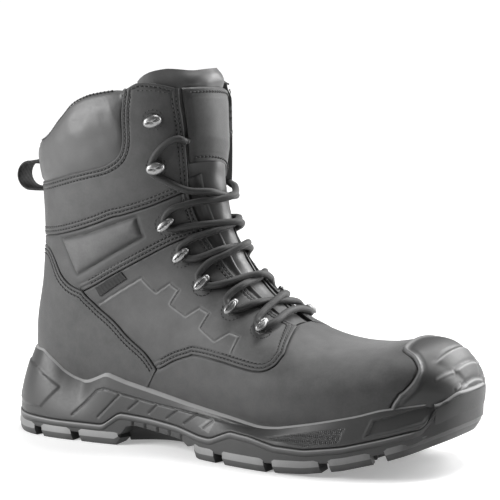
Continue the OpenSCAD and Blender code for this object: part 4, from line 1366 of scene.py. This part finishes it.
# ---- Lace ----

# Places the lace passes on one side, from each loop up to the front line, and from the
# front line up to the next loop.
LACE_UP = [[[7.22, 36], [7.31, 25]], [[8.39, 43], [8.47, 35], [8.44, 22]],
           [[9.54, 47], [9.63, 41], [9.64, 33], [9.56, 18]],
           [[10.67, 48], [10.71, 43], [10.63, 36], [10.42, 20]],
           [[12.0, 53], [12.11, 49], [12.03, 43], [11.84, 32], [11.55, 17]]]
LACE_IN = [[[7.69, 24], [7.9, 39]], [[8.62, 14], [8.81, 32], [9.05, 43]],
           [[9.75, 22], [9.92, 38], [10.12, 45]], [[10.74, 23], [11.15, 39], [11.45, 49]],
           [[11.95, 20], [12.47, 38], [13.4, 55]]]
LACE_MIDDLES = [7.45, 8.45, 9.6, 10.4, 11.5]
LACE_R = 2.15


def lace_route(start_side, lift):
    """Half of the lace, from its lowest loop up to its hook."""
    way, route = start_side, []
    for k in range(5):
        u, v = LOOPS[k]
        route.append((u, way * (v - 0.2), 2.3))
        route += [(a, way * b, 2.6) for a, b in LACE_UP[k]]
        route.append((LACE_MIDDLES[k], 0, lift))
        way = -way
        route += [(a, way * b, 2.6) for a, b in LACE_IN[k]]
    u, v = HOOKS[0]
    route += [(u - 0.05, way * (v + 2.8), 2.9), (u + 0.3, way * (v + 1.5), 2.9),
              (14.42, way * 54, 3.1), (14.56, way * 47, 3.3), (14.52, way * 41, 3.3),
              (14.3, way * 36.5, 1.6)]
    return route


def braid(route, r, strands=6, pitch=9.0, step=0.55):
    """A braided cord through points: its surface shows crossing yarns."""
    path = smooth(route, np.linspace(0, len(route) - 1, 60 * len(route)))
    far = lengths(path)
    even = np.linspace(0, far[-1], int(far[-1] / step))
    path = spaced(even, far, path)
    heading = unit(np.gradient(path, axis=0))
    side = unit(np.cross(heading[0], [0.3, 0.2, 1]))
    rings = []
    angle = turns(14)
    for place, way, at in zip(path, heading, even):
        side = unit(side - way * np.dot(side, way))
        other = np.cross(way, side)
        turn = 2 * math.pi * at / pitch
        yarn = np.abs(np.cos(strands / 2 * (angle - turn))) + np.abs(
            np.cos(strands / 2 * (angle + turn)))
        radius = r * (0.93 + 0.055 * yarn)
        rings.append(place + radius[:, None] * (np.cos(angle)[:, None] * side
                                                + np.sin(angle)[:, None] * other))
    return swept(rings)


def on_skin(route):
    route = np.array(route, float)
    return layer(route[:, 0], route[:, 1], route[:, 2])


def make_lace():
    bar = [(6.8, 26, 2.7), (6.84, 12, 2.8), (6.86, 0, 2.9), (6.84, -12, 2.8), (6.8, -26, 2.7)]
    over, under = lace_route(1, 4.9), lace_route(-1, 0.9)
    add_piece("lace_braid", facing_out(braid(on_skin(over[::-1] + bar + under), LACE_R)), CORD,
              ["lace"], crease=0)
    tails, tips = [], []
    for way in (-1, 1):
        tail = [(14.29, way * 36, 1.0), (14.28, way * 34.5, -1.2), (14.33, way * 31, -3.6),
                (14.38, way * 26, -3.9), (14.5, way * 18, -3.2), (14.6 + way * 0.35, way * 9, -3.0)]
        tails.append(braid(on_skin(tail), 1.9))
        tip = [(14.6 + way * 0.35, way * 10, -3.0), (14.65 + way * 0.4, 0, -3.0),
               (14.7 + way * 0.45, -way * 7, -3.0)]
        tips.append(braid(on_skin(tip), 2.0, strands=0))
    add_piece("lace_tail_braid", joined(tails), CORD, ["lace_tails"], "tongue",
              crease=0)
    add_piece("lace_tips", joined(tips), PLASTIC, ["aglets"], "tongue")


make_lace()


# ---- Pull loop ----

def make_pull_loop():
    """One band of webbing: out of the heel seam, round the loop and back in, with ribs
    along it and a thicker woven edge on both sides."""
    radius, middle_x, middle_z, root = 8.7, -35.5, 161.5, -23.6
    turn = np.linspace(np.pi / 2, 3 * np.pi / 2, 41)
    run = np.linspace(root, middle_x, 12)[:-1]
    x = np.concatenate([run, middle_x + radius * np.cos(turn), run[::-1]])
    z = middle_z + np.concatenate([radius + 0 * run, radius * np.sin(turn), -radius + 0 * run])
    pinch = bump_step(-26.5 - x, 6)
    across = np.linspace(-1, 1, 61)
    edge = bump_step(np.abs(across) - 0.8, 0.08) * (1 - bump_step(np.abs(across) - 0.93, 0.07))
    half = 0.58 + 0.07 * np.cos(across * 8 * 2 * np.pi / 1.45) + 0.2 * edge
    half = half * np.sqrt(1 - 0.8 * bump_step(np.abs(across) - 0.9, 0.1))
    along = unit(np.stack([np.gradient(x), np.gradient(z)], 1))
    out = np.stack([along[:, 1], -along[:, 0]], 1)
    rings = []
    for i in range(len(x)):
        y = across * (6.6 + 1.3 * pinch[i])
        up, down = (np.stack([x[i] + out[i, 0] * rise, y, z[i] + out[i, 1] * rise], 1)
                    for rise in (half, -half))
        rings.append(np.concatenate([up, down[::-1]]))
    piece = add_piece("pull_loop_webbing", facing_out(swept(rings)), WEBBING,
                      ["pull_loop", "pull_loop_anchor"], None, crease=0)
    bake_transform(piece)


make_pull_loop()


# ---- Nodes that keep their CAD shape, with a proper finish ----

CARRIED = {"penetration_plate": STEEL, "shank": STEEL, "insole_board": BOARD,
           "steel_toe_cap": STEEL, "toe_cap_edge_strip": RUBBER, "heel_stiffener": PLASTIC,
           "vamp_lining": LINING, "footbed": LINING, "washers_lateral": GUNMETAL,
           "washers_medial": GUNMETAL, "side_tag": WEBBING}
for node_name, finish in CARRIED.items():
    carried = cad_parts[node_name]
    carried.data.materials.clear()
    carried.data.materials.append(finish)


# ---- Floor, light and camera ----

def make_stage():
    bpy.ops.mesh.primitive_plane_add(size=60, location=(0, 0, -0.0002))
    floor = bpy.context.object
    floor.name = "floor"
    material, _, shader = new_material("pale floor")
    set_inputs(shader, Base_Color=(0.86, 0.86, 0.86, 1), Roughness=0.9,
               Emission_Color=(1, 1, 1, 1), Emission_Strength=0.3)
    floor.data.materials.append(material)
    floor.visible_diffuse = False
    world = bpy.data.worlds.new("studio")
    world.use_nodes = True
    tree = world.node_tree
    where = tree.nodes.new("ShaderNodeTexCoord")
    parts = add_node(tree, "SeparateXYZ", where.outputs["Generated"])
    ramp = add_node(tree, "MapRange", From_Min=-1, To_Min=0.08, To_Max=0.21)
    tree.links.new(parts.outputs["Z"], ramp.inputs["Value"])
    set_inputs(tree.nodes["Background"], Color=(1, 1, 1, 1))
    tree.links.new(ramp.outputs["Result"], tree.nodes["Background"].inputs["Strength"])
    bpy.context.scene.world = world


def add_lamp(name, light, way):
    """A lamp that shines from the end of a direction towards its start."""
    lamp = bpy.data.objects.new(name, light)
    lamp.rotation_euler = way.to_track_quat("Z", "Y").to_euler()
    bpy.context.scene.collection.objects.link(lamp)
    return lamp


def add_sun(name, direction, strength, spread):
    light = bpy.data.lights.new(name, "SUN")
    light.energy, light.angle = strength, math.radians(spread)
    add_lamp(name, light, Vector(direction))


def add_light(name, place, aim, size, power):
    light = bpy.data.lights.new(name, "AREA")
    light.size, light.energy = size, power
    add_lamp(name, light, Vector(place) - Vector(aim)).location = place


CAMERA_TURN, CAMERA_TILT = 29, 8  # from the outer side towards the toe, and up
CAMERA_DISTANCE, CAMERA_LENS = 1.5, 174.96  # in metres, and in millimetres


def make_camera():
    turn, tilt = math.radians(CAMERA_TURN), math.radians(CAMERA_TILT)
    back = Vector((math.sin(turn) * math.cos(tilt), -math.cos(turn) * math.cos(tilt),
                   math.sin(tilt)))
    right = Vector((math.cos(turn), math.sin(turn), 0))
    target = Vector((0.115, 0, 0.115)) + right * 0.00617 + back.cross(right) * 0.0074
    camera = bpy.data.objects.new("camera", bpy.data.cameras.new("camera"))
    camera.location = target + back * CAMERA_DISTANCE
    camera.rotation_euler = back.to_track_quat("Z", "Y").to_euler()
    camera.data.lens = CAMERA_LENS
    bpy.context.scene.collection.objects.link(camera)
    bpy.context.scene.camera = camera


make_stage()
add_sun("overhead", (0.1, 0.3, 1), 2.4, 26)
add_light("key", (-0.36, -0.47, 0.32), (0.05, 0, 0.12), 0.35, 5.3)
add_light("rim", (0.5, 0.75, 0.55), (0.12, 0, 0.1), 0.4, 7)
add_light("side", (0.72, 0.6, 0.28), (0.12, 0, 0.12), 0.3, 3.5)
make_camera()
bpy.context.scene.view_settings.view_transform = "Standard"
